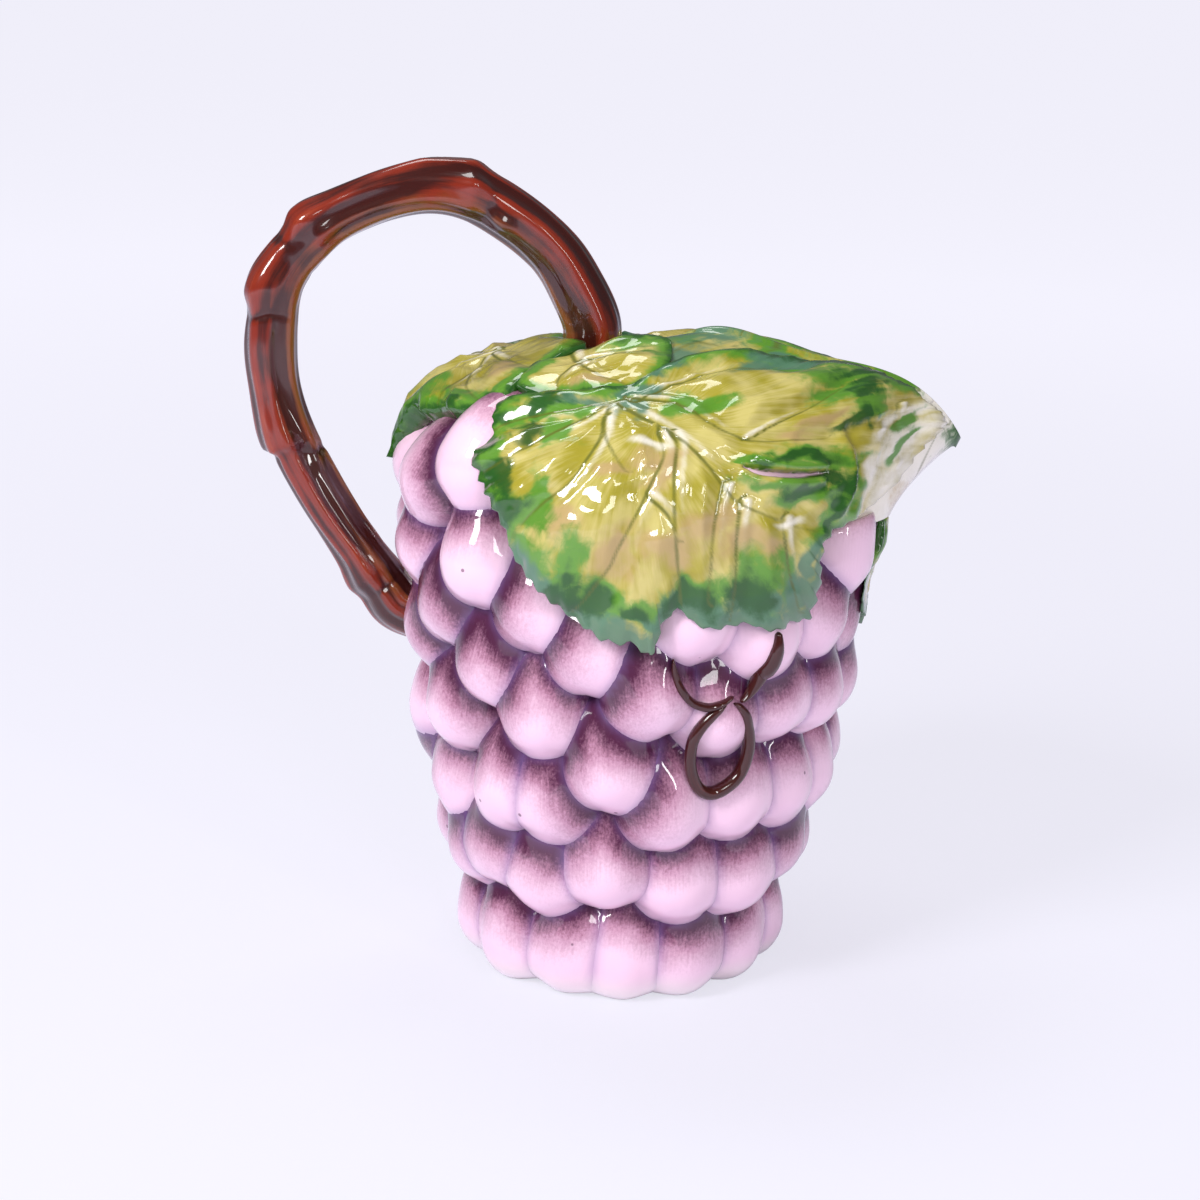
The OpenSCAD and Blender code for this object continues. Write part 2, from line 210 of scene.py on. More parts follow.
def dome(turn, rise, radius, low, edge, power):
    """A point between a circle (rise 0) and the rim (rise 1)."""
    p = FLANK_POWER + (power - FLANK_POWER)*ease((turn_off(turn) - 15)/60)
    rise = np.clip(rise, 0, 1)
    inward = 1 - np.cos(np.pi/2*rise)**(2/p)
    up = np.sin(np.pi/2*rise)**(2/p)
    return stack(
        radius*np.cos(turn)*(1 - inward) + edge[..., 0]*inward,
        radius*np.sin(turn)*(1 - inward) + edge[..., 1]*inward,
        low + (edge[..., 2] + dip(turn) - low)*up - dip(turn)*rise**DIP_POWER)


def bed(across, down):
    """What the leaves lie on: the grapes' outside below the skirt line and a dome above it."""
    turn = across/SKIRT_R - np.pi/2
    edge = rim(turn)
    foot = stack(SKIRT_R*np.cos(turn), SKIRT_R*np.sin(turn), SKIRT_Z)
    run = BED_SLACK*np.linalg.norm(edge + stack(0*turn, 0*turn, dip(turn)) - foot, axis=-1)
    z = SKIRT_Z - down
    below = stack(cluster_r(z)*np.cos(turn), cluster_r(z)*np.sin(turn), z)
    return np.where((down >= 0)[..., None], below,
                    dome(turn, -down/run, SKIRT_R, SKIRT_Z, edge, BED_POWER))


def bed_normal(across, down):
    side = bed(across + 0.5, down) - bed(across - 0.5, down)
    fall = bed(across, down + 0.5) - bed(across, down - 0.5)
    return unit(np.cross(fall, side))


def rumple(points, size, seed=0):
    """Smooth noise from -1 to 1, with lumps of that size."""
    p = np.asarray(points, float)/size + 17.31*seed
    if p.shape[-1] == 2:
        p = np.concatenate([p, np.zeros(p.shape[:-1] + (1,))], -1)
    cell = np.floor(p)
    f = ease(p - cell)
    total = 0
    for corner in itertools.product((0, 1), repeat=3):
        h = np.sin((cell + corner) @ np.array((12.9898, 78.233, 37.719)))*43758.5453
        total = total + (h - np.floor(h))*np.prod(np.where(corner, f, 1 - f), -1)
    return 2*total - 1


def curve(points, steps, closed=False):
    """A smooth line through given points."""
    p = np.array(points, float)
    n = len(p)
    spans = n if closed else n - 1
    pick = (lambda i: p[i % n]) if closed else (lambda i: p[min(max(i, 0), n - 1)])
    t = (np.arange(steps)/steps)[:, None]
    line = []
    for i in range(spans):
        a, b, c, d = (pick(i + k) for k in (-1, 0, 1, 2))
        line.append(0.5*(2*b + (c - a)*t + (2*a - 5*b + 4*c - d)*t**2 + (3*b - a - 3*c + d)*t**3))
    if not closed:
        line.append(p[-1:])
    return np.concatenate(line)


def lengths(line):
    """How far along a line each of its points lies."""
    return np.concatenate([[0], np.cumsum(np.linalg.norm(np.diff(line, axis=0), axis=1))])


def even(line, count, closed=False):
    """The same line with evenly spaced points, and its length."""
    if closed:
        line = np.concatenate([line, line[:1]])
    run = lengths(line)
    at = np.linspace(0, run[-1], count + 1 if closed else count)
    out = np.stack([np.interp(at, run, line[:, k]) for k in range(line.shape[1])], -1)
    return (out[:-1] if closed else out), run[-1]


def from_line(q, line):
    """Each point's distance from a line, its share along it, and the side it lies on."""
    line = np.array(line, float)
    run = lengths(line)
    best, along, side = np.full(len(q), 1e9), np.zeros(len(q)), np.zeros(len(q))
    for i, (a, b) in enumerate(zip(line[:-1], line[1:])):
        step = b - a
        t = np.clip((q - a) @ step/(step @ step), 0, 1)
        off = q - a - t[:, None]*step
        d = np.linalg.norm(off, axis=1)
        near = d < best
        best[near] = d[near]
        along[near] = (run[i] + t*(run[i + 1] - run[i]))[near]/run[-1]
        side[near] = np.sign(step[0]*off[:, 1] - step[1]*off[:, 0])[near]
    return best, along, side


# Making and finishing pieces


def only(*pieces):
    """Selects these pieces and nothing else, and makes the first one active."""
    bpy.ops.object.select_all(action="DESELECT")
    for piece in pieces:
        piece.select_set(True)
    if pieces:
        bpy.context.view_layer.objects.active = pieces[0]


def set_points(piece, points):
    """Moves a mesh's points to places in millimetres, kept inside the solids' box."""
    low, high = (np.array(c)/MM for c in CAD_BOX)
    co = np.clip(points, low, high)*MM
    piece.data.vertices.foreach_set("co", co.astype(np.float32).ravel())


def set_marks(piece, marks):
    """Stores values on a mesh's points for its glaze."""
    for name, values in marks.items():
        values = np.asarray(values, np.float32)
        kind, field = ("FLOAT_VECTOR", "vector") if values.ndim == 2 else ("FLOAT", "value")
        piece.data.attributes.new(name, kind, "POINT").data.foreach_set(field, values.ravel())


def lofted(name, columns, rows, place):
    """A grid whose points are placed by their shares across and along it, then closed and smoothed."""
    only()
    bpy.ops.mesh.primitive_grid_add(x_subdivisions=columns, y_subdivisions=rows, size=1)
    piece = bpy.context.object
    piece.name = piece.data.name = name
    flat = np.zeros(3*len(piece.data.vertices), np.float32)
    piece.data.vertices.foreach_get("co", flat)
    flat = flat.reshape(-1, 3).astype(float)
    points, marks = place(flat[:, 0] + 0.5, flat[:, 1] + 0.5)
    set_points(piece, points)
    set_marks(piece, marks)
    tidy(piece)
    return piece


def tidy(piece):
    """Merges a piece's seams and poles and turns its faces outwards."""
    bpy.ops.object.mode_set(mode="EDIT")
    bpy.ops.mesh.select_all(action="SELECT")
    bpy.ops.mesh.remove_doubles(threshold=0.004*MM)
    bpy.ops.mesh.normals_make_consistent(inside=False)
    bpy.ops.object.mode_set(mode="OBJECT")
    bpy.ops.object.shade_smooth()


def finished(piece, node, material):
    """Puts a piece in place of its CAD node, with its glaze."""
    piece.data.materials.clear()
    piece.data.materials.append(material)
    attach(piece, "root")
    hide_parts(node)


# Glazes


def add(tree, kind, settings=None, links=None):
    """Adds a node, sets its properties and sockets, and links its sockets to other nodes' outputs."""
    node = tree.nodes.new("ShaderNode" + kind)
    for key, value in (settings or {}).items():
        if isinstance(key, str) and hasattr(node, key):
            setattr(node, key, value)
        else:
            node.inputs[key].default_value = value
    for key, source in (links or {}).items():
        tree.links.new(source, node.inputs[key])
    return node


def rgba(value):
    return tuple(value) + (1.0,)


def glaze(name, roughness):
    """Painted biscuit under a clear lead glaze: satin colour below, a sharp wet gloss above."""
    material = bpy.data.materials.new(name)
    material.use_nodes = True
    tree = material.node_tree
    shader = tree.nodes["Principled BSDF"]
    for key, value in (
        ("Roughness", roughness), ("IOR", 1.5), ("Specular IOR Level", 0.15),
        ("Coat Weight", 1.0), ("Coat Roughness", 0.035), ("Coat IOR", 1.52),
    ):
        shader.inputs[key].default_value = value
    return material, tree, shader


SOFT, HARD = "SMOOTHSTEP", "LINEAR"


def lay(tree, base, layers):
    """Lays colours over a base colour, each as far as its measure runs from a start to an end."""
    for value, measure, start, end, most, edge in layers:
        cover = add(tree, "MapRange", {"interpolation_type": edge, 1: start, 2: end, 4: most}, {0: measure})
        mix = add(tree, "Mix", {"data_type": "RGBA", 7: rgba(value)}, {0: cover.outputs[0]})
        if isinstance(base, bpy.types.NodeSocket):
            tree.links.new(base, mix.inputs[6])
        else:
            mix.inputs[6].default_value = rgba(base)
        base = mix.outputs[2]
    return base


def fired(tree, shader, body, relief, strength, depth):
    """Gives a glaze its painted colour and the slight relief of its brush marks."""
    tree.links.new(body, shader.inputs["Base Color"])
    bump = add(tree, "Bump", {"Strength": strength, "Distance": depth}, {"Height": relief})
    tree.links.new(bump.outputs[0], shader.inputs["Normal"])


def grape_glaze():
    """Pink underglaze with plum stippled and brushed down from each grape's tucked end."""
    c = colours()
    material, tree, shader = glaze("grape_majolica_glaze", 0.38)
    tuck, seam, tone = (
        add(tree, "Attribute", {"attribute_name": name}).outputs["Fac"] for name in ("tuck", "seam", "tone"))
    grain = add(tree, "Attribute", {"attribute_name": "grain"}).outputs["Vector"]
    place = add(tree, "TexCoord").outputs["Object"]
    height = add(tree, "SeparateXYZ", {}, {0: place}).outputs["Z"]
    # Brush hairs 0.55 mm wide and 14 mm long, a stipple of 0.9 mm, clouds of 9 mm, specks about 14 mm apart
    hairs = add(tree, "Mapping", {"Scale": (1/0.55, 1/0.55, 1/14)}, {"Vector": grain}).outputs[0]
    hair, stipple, cloud = (
        add(tree, "TexNoise", settings, {"Vector": where}).outputs[0]
        for where, settings in (
            (hairs, {"Scale": 1.0, "Detail": 3.0}),
            (grain, {"Scale": 1/0.9, "Detail": 2.0, "Roughness": 0.7}),
            (grain, {"Scale": 1/9, "Detail": 1.0}),
        ))
    speck = add(tree, "TexVoronoi", {"Scale": 1/14, "Randomness": 1.0}, {"Vector": grain}).outputs["Distance"]
    loose = tuck
    for source, share in ((hair, 0.22), (stipple, 0.32), (cloud, 0.26), (tone, 0.10)):
        loose = add(tree, "Math", {"operation": "MULTIPLY_ADD", 1: share}, {0: source, 2: loose}).outputs[0]
    body = lay(tree, c.pink, (
        (c.mauve, loose, 0.48, 1.16, 1.0, SOFT),
        (c.plum, loose, 0.94, 1.36, 1.0, SOFT),
        # Painted shade in the seams between grapes
        (c.shade_lavender, seam, 0.0, 1.0, 0.5, HARD),
        # The lowest 12 mm are laid paler, towards cream
        (c.cream, height, 0.012, 0.001, 0.75, SOFT),
        # Stray specks of dark slip about 1 mm across
        (c.plum, speck, 0.045, 0.03, 0.7, HARD),
    ))
    fired(tree, shader, body, hair, 0.25, 0.0002)
    return material


def leaf_glaze():
    """Yellow and cream washes brushed out from the stalk, greens over the margins, olive lines at the ribs."""
    c = colours()
    material, tree, shader = glaze("leaf_majolica_glaze", 0.36)
    mark = {
        name: add(tree, "Attribute", {"attribute_name": name}).outputs["Fac"]
        for name in ("green", "dark", "grey", "tan", "vein", "pink", "bare")
    }
    grain = add(tree, "Attribute", {"attribute_name": "grain"}).outputs["Vector"]
    place = add(tree, "TexCoord").outputs["Object"]
    # Brush hairs 1.1 mm wide and 22 mm long, washes 12 mm across, ragged stroke ends of 4 mm
    hairs = add(tree, "Mapping", {"Scale": (1/22, 1/1.1, 1/1.1)}, {"Vector": grain}).outputs[0]
    hair, wash, ragged = (
        add(tree, "TexNoise", settings, {"Vector": where}).outputs[0]
        for where, settings in (
            (hairs, {"Scale": 1.0, "Detail": 3.0, "Roughness": 0.6}),
            (place, {"Scale": 1/0.012, "Detail": 2.0}),
            (place, {"Scale": 1/0.004, "Detail": 3.0, "Roughness": 0.6, "Distortion": 0.6}),
        ))
    streak, pale = (
        add(tree, "Math", {"operation": "MULTIPLY_ADD", 1: share}, {0: hair, 2: under}).outputs[0]
        for under, share in ((ragged, 0.6), (wash, 0.55)))
    layers = [(c.leaf_cream, pale, 0.62, 0.95, 1.0, SOFT)]
    for name, value, share, start, end in (
        ("bare", c.cream, 0.35, 0.7, 1.4),
        ("tan", c.leaf_tan, 0.55, 0.75, 1.4),
        ("green", c.leaf_green, 0.75, 0.78, 1.3),
        # Painted reflection in grey green
        ("grey", c.leaf_sky_reflection, 0.55, 0.7, 1.2),
        ("dark", c.leaf_dark, 0.75, 0.88, 1.4),
        ("vein", c.leaf_vein, 0.25, 0.4, 1.0),
    ):
        laid = add(tree, "Math", {"operation": "MULTIPLY_ADD", 1: share}, {0: streak, 2: mark[name]})
        layers.append((value, laid.outputs[0], start, end, 0.92, SOFT))
    # The grape that shows in the slit
    layers.append((c.pink, mark["pink"], 0.0, 1.0, 1.0, HARD))
    fired(tree, shader, lay(tree, c.leaf_yellow, layers), hair, 0.35, 0.0003)
    return material


def branch_glaze():
    """Red-brown glaze with dark brush streaks, laid lighter on the bark's ridges and knots and darker in its grooves
    and rings.
    """
    c = colours()
    material, tree, shader = glaze("branch_majolica_glaze", 0.32)
    darkening, inner = (
        add(tree, "Attribute", {"attribute_name": name}).outputs["Fac"] for name in ("darkening", "inner"))
    grain = add(tree, "Attribute", {"attribute_name": "grain"}).outputs["Vector"]
    # Brush streaks 2 mm wide and 30 mm long, runs of glaze 9 mm across
    runs = add(tree, "Mapping", {"Scale": (1/30, 1/2.0, 1/2.0)}, {"Vector": grain}).outputs[0]
    streak, patch = (
        add(tree, "TexNoise", settings, {"Vector": where}).outputs[0]
        for where, settings in (
            (runs, {"Scale": 1.0, "Detail": 4.0, "Roughness": 0.65}),
            (grain, {"Scale": 1/9, "Detail": 2.0}),
        ))
    depth = darkening
    for source, share in ((streak, 0.9), (patch, 0.5)):
        depth = add(tree, "Math", {"operation": "MULTIPLY_ADD", 1: share}, {0: source, 2: depth}).outputs[0]
    warm = add(tree, "Math", {"operation": "MULTIPLY_ADD", 1: 0.8}, {0: patch, 2: inner}).outputs[0]
    body = lay(tree, c.bark_red, (
        (c.bark_bright, depth, 0.62, 0.35, 0.75, SOFT),
        (c.bark_ochre, warm, 0.8, 1.35, 0.85, SOFT),
        (c.bark_dark, depth, 0.7, 1.12, 0.95, SOFT),
    ))
    fired(tree, shader, body, streak, 0.4, 0.0004)
    return material


def cream_glaze():
    """Tin-white glaze inside and under the foot; where the wall shows between the grapes it is painted a dark purple
    as painted shade.
    """
    c = colours()
    material, tree, shader = glaze("cream_majolica_glaze", 0.34)
    place = add(tree, "TexCoord").outputs["Object"]
    flat = add(tree, "VectorMath", {"operation": "MULTIPLY", 1: (1, 1, 0)}, {0: place}).outputs[0]
    facing = add(tree, "NewGeometry").outputs["True Normal"]
    outside = add(tree, "VectorMath", {"operation": "DOT_PRODUCT"}, {0: flat, 1: facing}).outputs["Value"]
    # Thick and thin glaze in clouds of 18 mm
    cloud = add(tree, "TexNoise", {"Scale": 1/0.018, "Detail": 3.0}, {"Vector": place}).outputs[0]
    body = lay(tree, c.cream, (
        (c.cream_thin, cloud, 0.35, 0.75, 0.4, HARD),
        # Painted shade where the wall faces out between the grapes
        (c.wall, outside, 0.004, 0.012, 1.0, HARD),
    ))
    fired(tree, shader, body, cloud, 0.15, 0.0004)
    return material


# Grapes: each row lists [angle from the near side towards the spout, lift above the row's height]

ROW_AT = (0, 0.2, 0.37, 0.56, 0.69, 0.8, 1)
ROW_GRAPES = (
    ((-78, 0.5), (-51, 0), (-25, 0.5), (-2, 0), (23, 0.5), (51, 0), (77, 0.5)),
    ((-90, 1), (-67, 0), (-51, 4), (-32, -1), (-10, 4), (16, -1), (39, -1), (58, 5), (79, 1)),
    ((-90, 4), (-72, -4), (-44, 1), (-27, 0), (-9, 13), (7, 1), (30, 2), (51, 2), (72, 0), (90, 4)),
    ((-90, -13), (-64, -6), (-31, 0), (-16, 21), (0, 10), (20, 3), (39, 5), (56, 4), (76, 3)),
    ((-76, -3), (-47, -6), (10, 14), (30, 8), (51, 10), (71, 5), (90, 7)),
    ((-76, 6), (-62, -7), (-48, 8), (-32, -2), (60, 11), (79, 2)),
    ((-90, -2), (-70, -2), (-51, 6)),
)
# How much deeper the grapes below the beak lie, so that the leaf there lies flush
UNDER_LEAF_SUNK = 3.4
# How far each row's upper ends lean in under the row above, as a slope
ROW_LEAN = (0.30, 0.32, 0.32, 0.32, 0.34, 0.42, 0.62)
# Heights of the lowest and the highest row, and how far single grapes lean sideways and stand in or out
LOW_ROW, HIGH_ROW = -1.0, CUP_H - 4
SWAY, STAND = 0.16, (-1.7, 1.1)
# Grapes press on each other within this share of their half-length; one this much higher lies above
NEIGHBOUR, HIGHER = 2.4, 7.0


def grape_places():
    """Each grape's row, its tip, and its frame: outwards, sideways and along."""
    places = []
    rng = np.random.default_rng(11)
    for row, grapes in enumerate(ROW_GRAPES):
        for angle, lift in grapes:
            pairs = (angle,) if abs(angle) == 90 else (angle, 180 - angle)
            for a in np.radians(pairs):
                z = LOW_ROW + (HIGH_ROW - LOW_ROW)*ROW_AT[row] + lift
                at = z + GRAPE_R
                out = np.array((np.sin(a), -np.cos(a), 0))
                beak = row in (4, 5) and angle > 55
                slope = float(wall_r(at + 1) - wall_r(at - 1))/2 - (0.1 if beak else ROW_LEAN[row])
                level = np.cross((0, 0, 1), out)
                along = unit(out*slope + level*rng.uniform(-SWAY, SWAY) + np.array((0, 0, 1.0)))
                side = unit(np.cross(along, out))
                sunk = UNDER_LEAF_SUNK if beak and angle > 70 else 0
                stand = rng.uniform(*STAND)*(not sunk)
                mid = out*(float(cluster_r(at)) - GRAPE_R - sunk + stand) + np.array((0, 0, at))
                places.append((row, mid, np.stack([np.cross(side, along), side, along])))
    return places


def grape_radii(z, half_width, half_length):
    """Half-width of a grape at heights from its widest place: full below, drawn in above."""
    below = half_width*np.sqrt(np.clip(1 - (z/half_width)**2*0.98, 0, 1))
    top = 2*half_length - half_width
    above = half_width*np.clip(1 - (np.clip(z, 0, top)/top)**2.3, 0, 1)**0.62
    return np.where(z < 0, below, above)


def grape_gap(p, mid, axes, half_width, half_length):
    """Rough distance of points from a grape's skin, negative inside it."""
    q = (p - mid) @ axes.T
    top = 2*half_length - half_width
    z = np.clip(q[:, 2], -half_width, top)
    width = np.maximum(grape_radii(z, half_width, half_length), 0.3)
    across = np.hypot(q[:, 0], q[:, 1])
    low = np.linalg.norm(q, axis=1) - half_width
    up = (across - width)*0.88 + np.maximum(q[:, 2] - top, 0)
    return np.where(q[:, 2] < 0, low, up)


def bedded(points):
    """Grape points deeper than the middle of the wall, pressed back into it."""
    turn = np.arctan2(points[:, 1], points[:, 0])
    edge = rim(turn)
    up = np.clip((points[:, 2] - CUP_H)/(RIM_H - CUP_H), 0, 0.98)
    inward = (1 - (1 - up**DOME_POWER)**(1/DOME_POWER))[:, None]
    ring = (CUP_R - WALL/2)*stack(np.cos(turn), np.sin(turn))*(1 - inward) + edge[:, :2]*inward
    core = np.where(points[:, 2] < CUP_H, wall_r(points[:, 2]) - WALL/2, np.linalg.norm(ring, axis=1))
    far = np.maximum(np.hypot(points[:, 0], points[:, 1]), core)
    # Under the beak they end below the channel's floor
    roof = np.where(turn_off(turn) < 52, CUP_H - 1.5 + 0.4*np.maximum(far - CUP_R, 0), 1e3)
    return stack(far*np.cos(turn), far*np.sin(turn), np.clip(points[:, 2], 0, roof))


class PITCHER_OT_grapes(bpy.types.Operator):
    """Model one grape and press copies of it onto the cup, row by row"""

    bl_idname = "pitcher.grapes"
    bl_label = "Grapes"

    def execute(self, context):
        s = sizes()
        half_width, half_length = s.grape_width/MM/2, s.grape_length/MM/2
        fillet = s.grape_fillet/MM
        only()
        bpy.ops.mesh.primitive_uv_sphere_add(segments=48, ring_count=34, radius=1)
        model = bpy.context.object
        ball = np.array([v.co for v in model.data.vertices], float)
        top = 2*half_length - half_width
        z = np.where(ball[:, 2] < 0, ball[:, 2]*half_width, ball[:, 2]*top)
        width = grape_radii(z, half_width, half_length)
        round_ = np.hypot(ball[:, 0], ball[:, 1])
        shape = stack(ball[:, 0], ball[:, 1], z)
        shape[:, :2] *= (width/np.maximum(round_, 1e-6))[:, None]*(round_ > 1e-5)[:, None]
        skin = unit(stack(shape[:, 0], shape[:, 1], np.where(z < 0, z, z*(half_width/top)**2)))
        places = grape_places()
        material = grape_glaze()
        rng = np.random.default_rng(7)
        pieces = [[] for _ in ROW_GRAPES]
        for i, (row, mid, axes) in enumerate(places):
            points = mid + shape @ axes
            normal = skin @ axes
            seam = np.full(len(points), 1e3)
            above = np.full(len(points), 1e3)
            for j, (_, other, other_axes) in enumerate(places):
                if i != j and np.linalg.norm(other - mid) < NEIGHBOUR*half_length:
                    gap = np.abs(grape_gap(points, other, other_axes, half_width, half_length))
                    seam = np.minimum(seam, gap)
                    if other[2] > mid[2] + HIGHER:
                        above = np.minimum(above, gap)
            points = points + normal*(fillet/4*np.clip(1 - seam/fillet, 0, 1)**2)[:, None]
            points = points + normal*(0.25*rumple(points, 9, 3))[:, None]
            points = bedded(points)
            only(model)
            bpy.ops.object.duplicate()
            grape = context.object
            set_points(grape, points)
            set_marks(grape, {
                "tuck": np.maximum(
                    np.clip(1.1 - above/16, 0, 1), 0.75*np.clip((z/half_width - 0.1)/1.2, 0, 1)),
                # Closeness to the seams, where the glaze takes painted shade
                "seam": bell(seam/1.7),
                "tone": np.full(len(points), rng.uniform(-1, 1)),
                "grain": stack(shape[:, 0] + 50*i, shape[:, 1], shape[:, 2]),
            })
            pieces[row].append(grape)
        for row, grapes in enumerate(pieces):
            only(*grapes)
            bpy.ops.object.join()
            bunch = context.object
            bunch.name = bunch.data.name = f"grapes_row_{row + 1}"
            tidy(bunch)
            finished(bunch, f"grape_row_{row + 1}", material)
        only(model)
        bpy.ops.object.delete()
        return {"FINISHED"}


# Leaves: outlines, ribs and strokes of colour as [across, down] on the bed, in millimetres

FRONT_EDGE = (
    (-8, -96), (-22, -95), (-30, -88), (-33, -78), (-33, -68), (-41, -62), (-53, -57), (-64, -49), (-62.5, -38),
    (-62, -28), (-57, -20), (-53, -15), (-48, -10), (-44, -5), (-40, 3), (-34, 9), (-28, 14), (-22, 18.5),
    (-14, 22.5), (-6, 23.5), (-1, 26), (2, 17), (6, 14), (12, 18), (19, 18.5), (26, 18), (34, 20.5), (41, 19),
    (47, 18.5), (49, 9), (47, 1), (50, -5), (58, -10), (70, -16), (78, -24), (80, -42), (72, -53), (58, -66),
    (44, -77), (30, -86), (14, -93),
)
FRONT_RIBS = (
    ((-27.5, -57.5), (-9.5, -49), (4.5, -37), (15, -24), (21, -17.5), (34, -11.5), (44, -9)),
    ((-28, -61.5), (-13, -61.5), (3, -51), (14, -44), (23.5, -43), (36, -43.5)),
    ((13.5, -44), (19, -52.5), (24.5, -60.5), (27, -70.5)),
    ((-6, -46), (-2, -40), (2.5, -21), (5, -7), (7, 4), (8.5, 15)),
    ((-10, -47), (-4, -35.5), (-4.5, -20.5), (-6, -11.5), (-10, -0.5), (-17.5, 11.5), (-21.5, 16.5)),
    ((-28.5, -56), (-24.5, -45.5), (-13, -30)),
    ((-28, -57), (-34, -45.5), (-40.5, -34.5), (-48.5, -22.5), (-54, -17.5)),
    ((-28, -57), (-34.5, -53), (-42.5, -47), (-52.5, -41), (-58.5, -31.5)),
    ((-27, -50), (-23.5, -40), (-24.5, -23), (-32, -11), (-37, -3.5), (-40, 2.5)),
    ((21, -17.5), (22, -0.5), (22, 15.5)),
    ((15, -24), (15, -1), (15, 9.5)),
    ((-26, -60), (-21, -77.5), (-13, -87), (5, -86)),
    ((-4.5, -20.5), (2, -14), (5, -7)),
    ((34, -11.5), (38, 2), (43, 14)),
    ((54, -60), (60, -48), (64, -34), (66, -18)),
    ((60, -48), (68, -40), (74, -32)),
)
# Across, down, reach across and down of each stroke
FRONT_GREEN = (
    (-46, -50, 12, 6), (-54, -24, 6, 12), (-24, 4, 6, 9), (36, -33, 20, 4), (38, -20, 14, 3.5), (42, -60, 7, 9),
    (28, -78, 20, 8), (-8, -60, 10, 4), (-36, -14, 6, 9), (20, 7, 6, 8), (7.5, 7, 5, 7), (-19, 12, 5, 9),
    (31, -24, 16, 3.5), (49, -21, 5, 10), (2, -86, 14, 5), (32, -66, 12, 7), (-38, -38, 5, 6), (-34, 2, 6, 6),
    (-56, -42, 7, 8), (-46, -52, 12, 4), (63, -50, 2.5, 9), (-60, -30, 6, 14), (55, -16, 3.5, 7),
    (66, -36, 2, 7), (-29, -62, 6, 5), (47, -12, 4, 10), (10, 10, 10, 7), (-14, 12, 6, 8), (-28, 9, 9, 8),
    (-4, 13, 10, 5), (-34, -18, 4, 5), (24, 9, 9, 9), (34, 6, 6, 8),
)
FRONT_DARK = (
    (34, -33, 16, 2.5), (36, -21.5, 12, 2.5), (38, -66, 8, 5), (30, -80, 11, 5), (43, -50, 4, 9),
    (-59, -26, 4, 12), (-50, -54, 9, 4), (-42, -12, 6, 7), (6, 8, 3, 6), (-20, 10, 3, 7), (-46, -38, 5, 8),
    (44, -27, 7, 3), (-59, -36, 4, 10), (36, -71, 8, 4), (49.5, -24, 3, 8), (20, 9, 6, 6), (-48, -20, 5, 7),
    (-24, 9, 4, 9), (-52, -50, 7, 3), (47.5, -13, 2.5, 9), (8, 11, 8, 6), (-18, 13, 5, 7), (24, 12, 6, 5),
    (-6, 14, 6, 4),
)
# Strokes of painted reflection, the pale surroundings seen in the glaze as grey green
FRONT_SKY_REFLECTION = (
    (-14, 21, 14, 5), (-30, 9, 8, 6), (40, 10, 9, 10), (10, 15, 18, 3.5), (-27, -64, 9, 6), (-32, -76, 5, 8),
    (-8, -92, 12, 5), (26, 14, 10, 4), (-24, -55, 6, 4), (44, -2, 5, 8), (-44, -6, 5, 6), (4, -91, 14, 5),
    (-8, -84, 7, 6), (-38, -56, 9, 3),
)
FRONT_TAN = (
    (-4.5, -27, 6, 9), (10, -10, 9, 8), (22, -4, 10, 6), (28, -42, 9, 5), (-27, -10, 8, 9), (-12, -2, 7, 8),
    (-18, -28, 6, 8), (32, -50, 6, 6), (2, -4, 10, 7), (30, -2, 7, 6), (-8, -34, 9, 6),
)
# Pale flank of the beak beyond the leaf's fold, and two pale washes on the leaf itself
FRONT_BARE = (
    (66, -38, 16, 18), (72, -24, 14, 14), (60, -28, 8, 16), (76, -46, 13, 14), (64, -58, 13, 10),
    (55, -50, 7, 14), (-14, -40, 8, 4), (34, -11, 6, 3),
)
# One side of the leaf behind the handle and of the one below the beak, from each leaf's middle
HANDLE_SIDE = (
    (6, -20), (13, -33), (20, -33), (28, -38), (40, -40), (49, -50), (46, -61), (42, -74), (34, -84), (16, -86),
)
HANDLE_RIBS = (
    ((3, -66), (16, -58), (30, -51), (44, -48)),
    ((16, -58), (22, -47), (26, -40)),
    ((4, -66), (22, -68), (38, -68)),
)
HANDLE_GREEN = ((40, -46, 9, 7), (28, -44, 9, 5), (14, -40, 7, 7), (46, -56, 5, 8), (6, -22, 5, 9))
HANDLE_DARK = ((44, -48, 6, 5), (30, -40, 8, 3), (6, -18, 4, 7))
UNDER_SIDE = ((16, -13), (24, 0), (29, 15), (25, 28), (13, 25))
ROOT_EDGE = (
    (-30, -76), (-38, -86), (-52, -93), (-68, -92), (-79, -83), (-77, -70), (-70, -58), (-58, -56), (-43, -61),
    (-31, -66),
)


# A leaf's grid: rings from stalk to edge, rows down its edge and rows below it
LEAF_RINGS, EDGE_ROWS, BELOW_ROWS = 76, 3, 4
# Grid points stand this far apart along a leaf's edge, and its teeth this far
EDGE_STEP, TOOTH_STEP = 0.85, 5.2


def moved(points, mid, turn=1):
    """Points or strokes drawn from a leaf's middle, moved to its place, or mirrored there."""
    return tuple((mid + turn*x, *rest) for x, *rest in points)


def teeth(line, stalk, depth, spacing):
    """A leaf's edge with its saw teeth cut in, lower where it runs towards the stalk."""
    step = np.roll(line, -1, 0) - np.roll(line, 1, 0)
    out = unit(np.stack([-step[:, 1], step[:, 0]], -1))
    out = out*np.sign((out*(line - stalk)).sum(1).mean())
    run = np.cumsum(np.linalg.norm(line - np.roll(line, 1, 0), axis=1))
    phase = run/spacing + 0.35*rumple(np.stack([run, run*0], -1), 14, 5)
    saw = phase % 1
    saw = np.where(saw < 0.68, saw/0.68, (1 - saw)/0.32)
    size = depth*(0.75 + 0.45*rumple(np.stack([run, run*0], -1), 9, 8))
    facing = np.abs((out*unit(line - stalk)).sum(1))
    return line - out*(size*(1 - saw)*facing)[:, None]


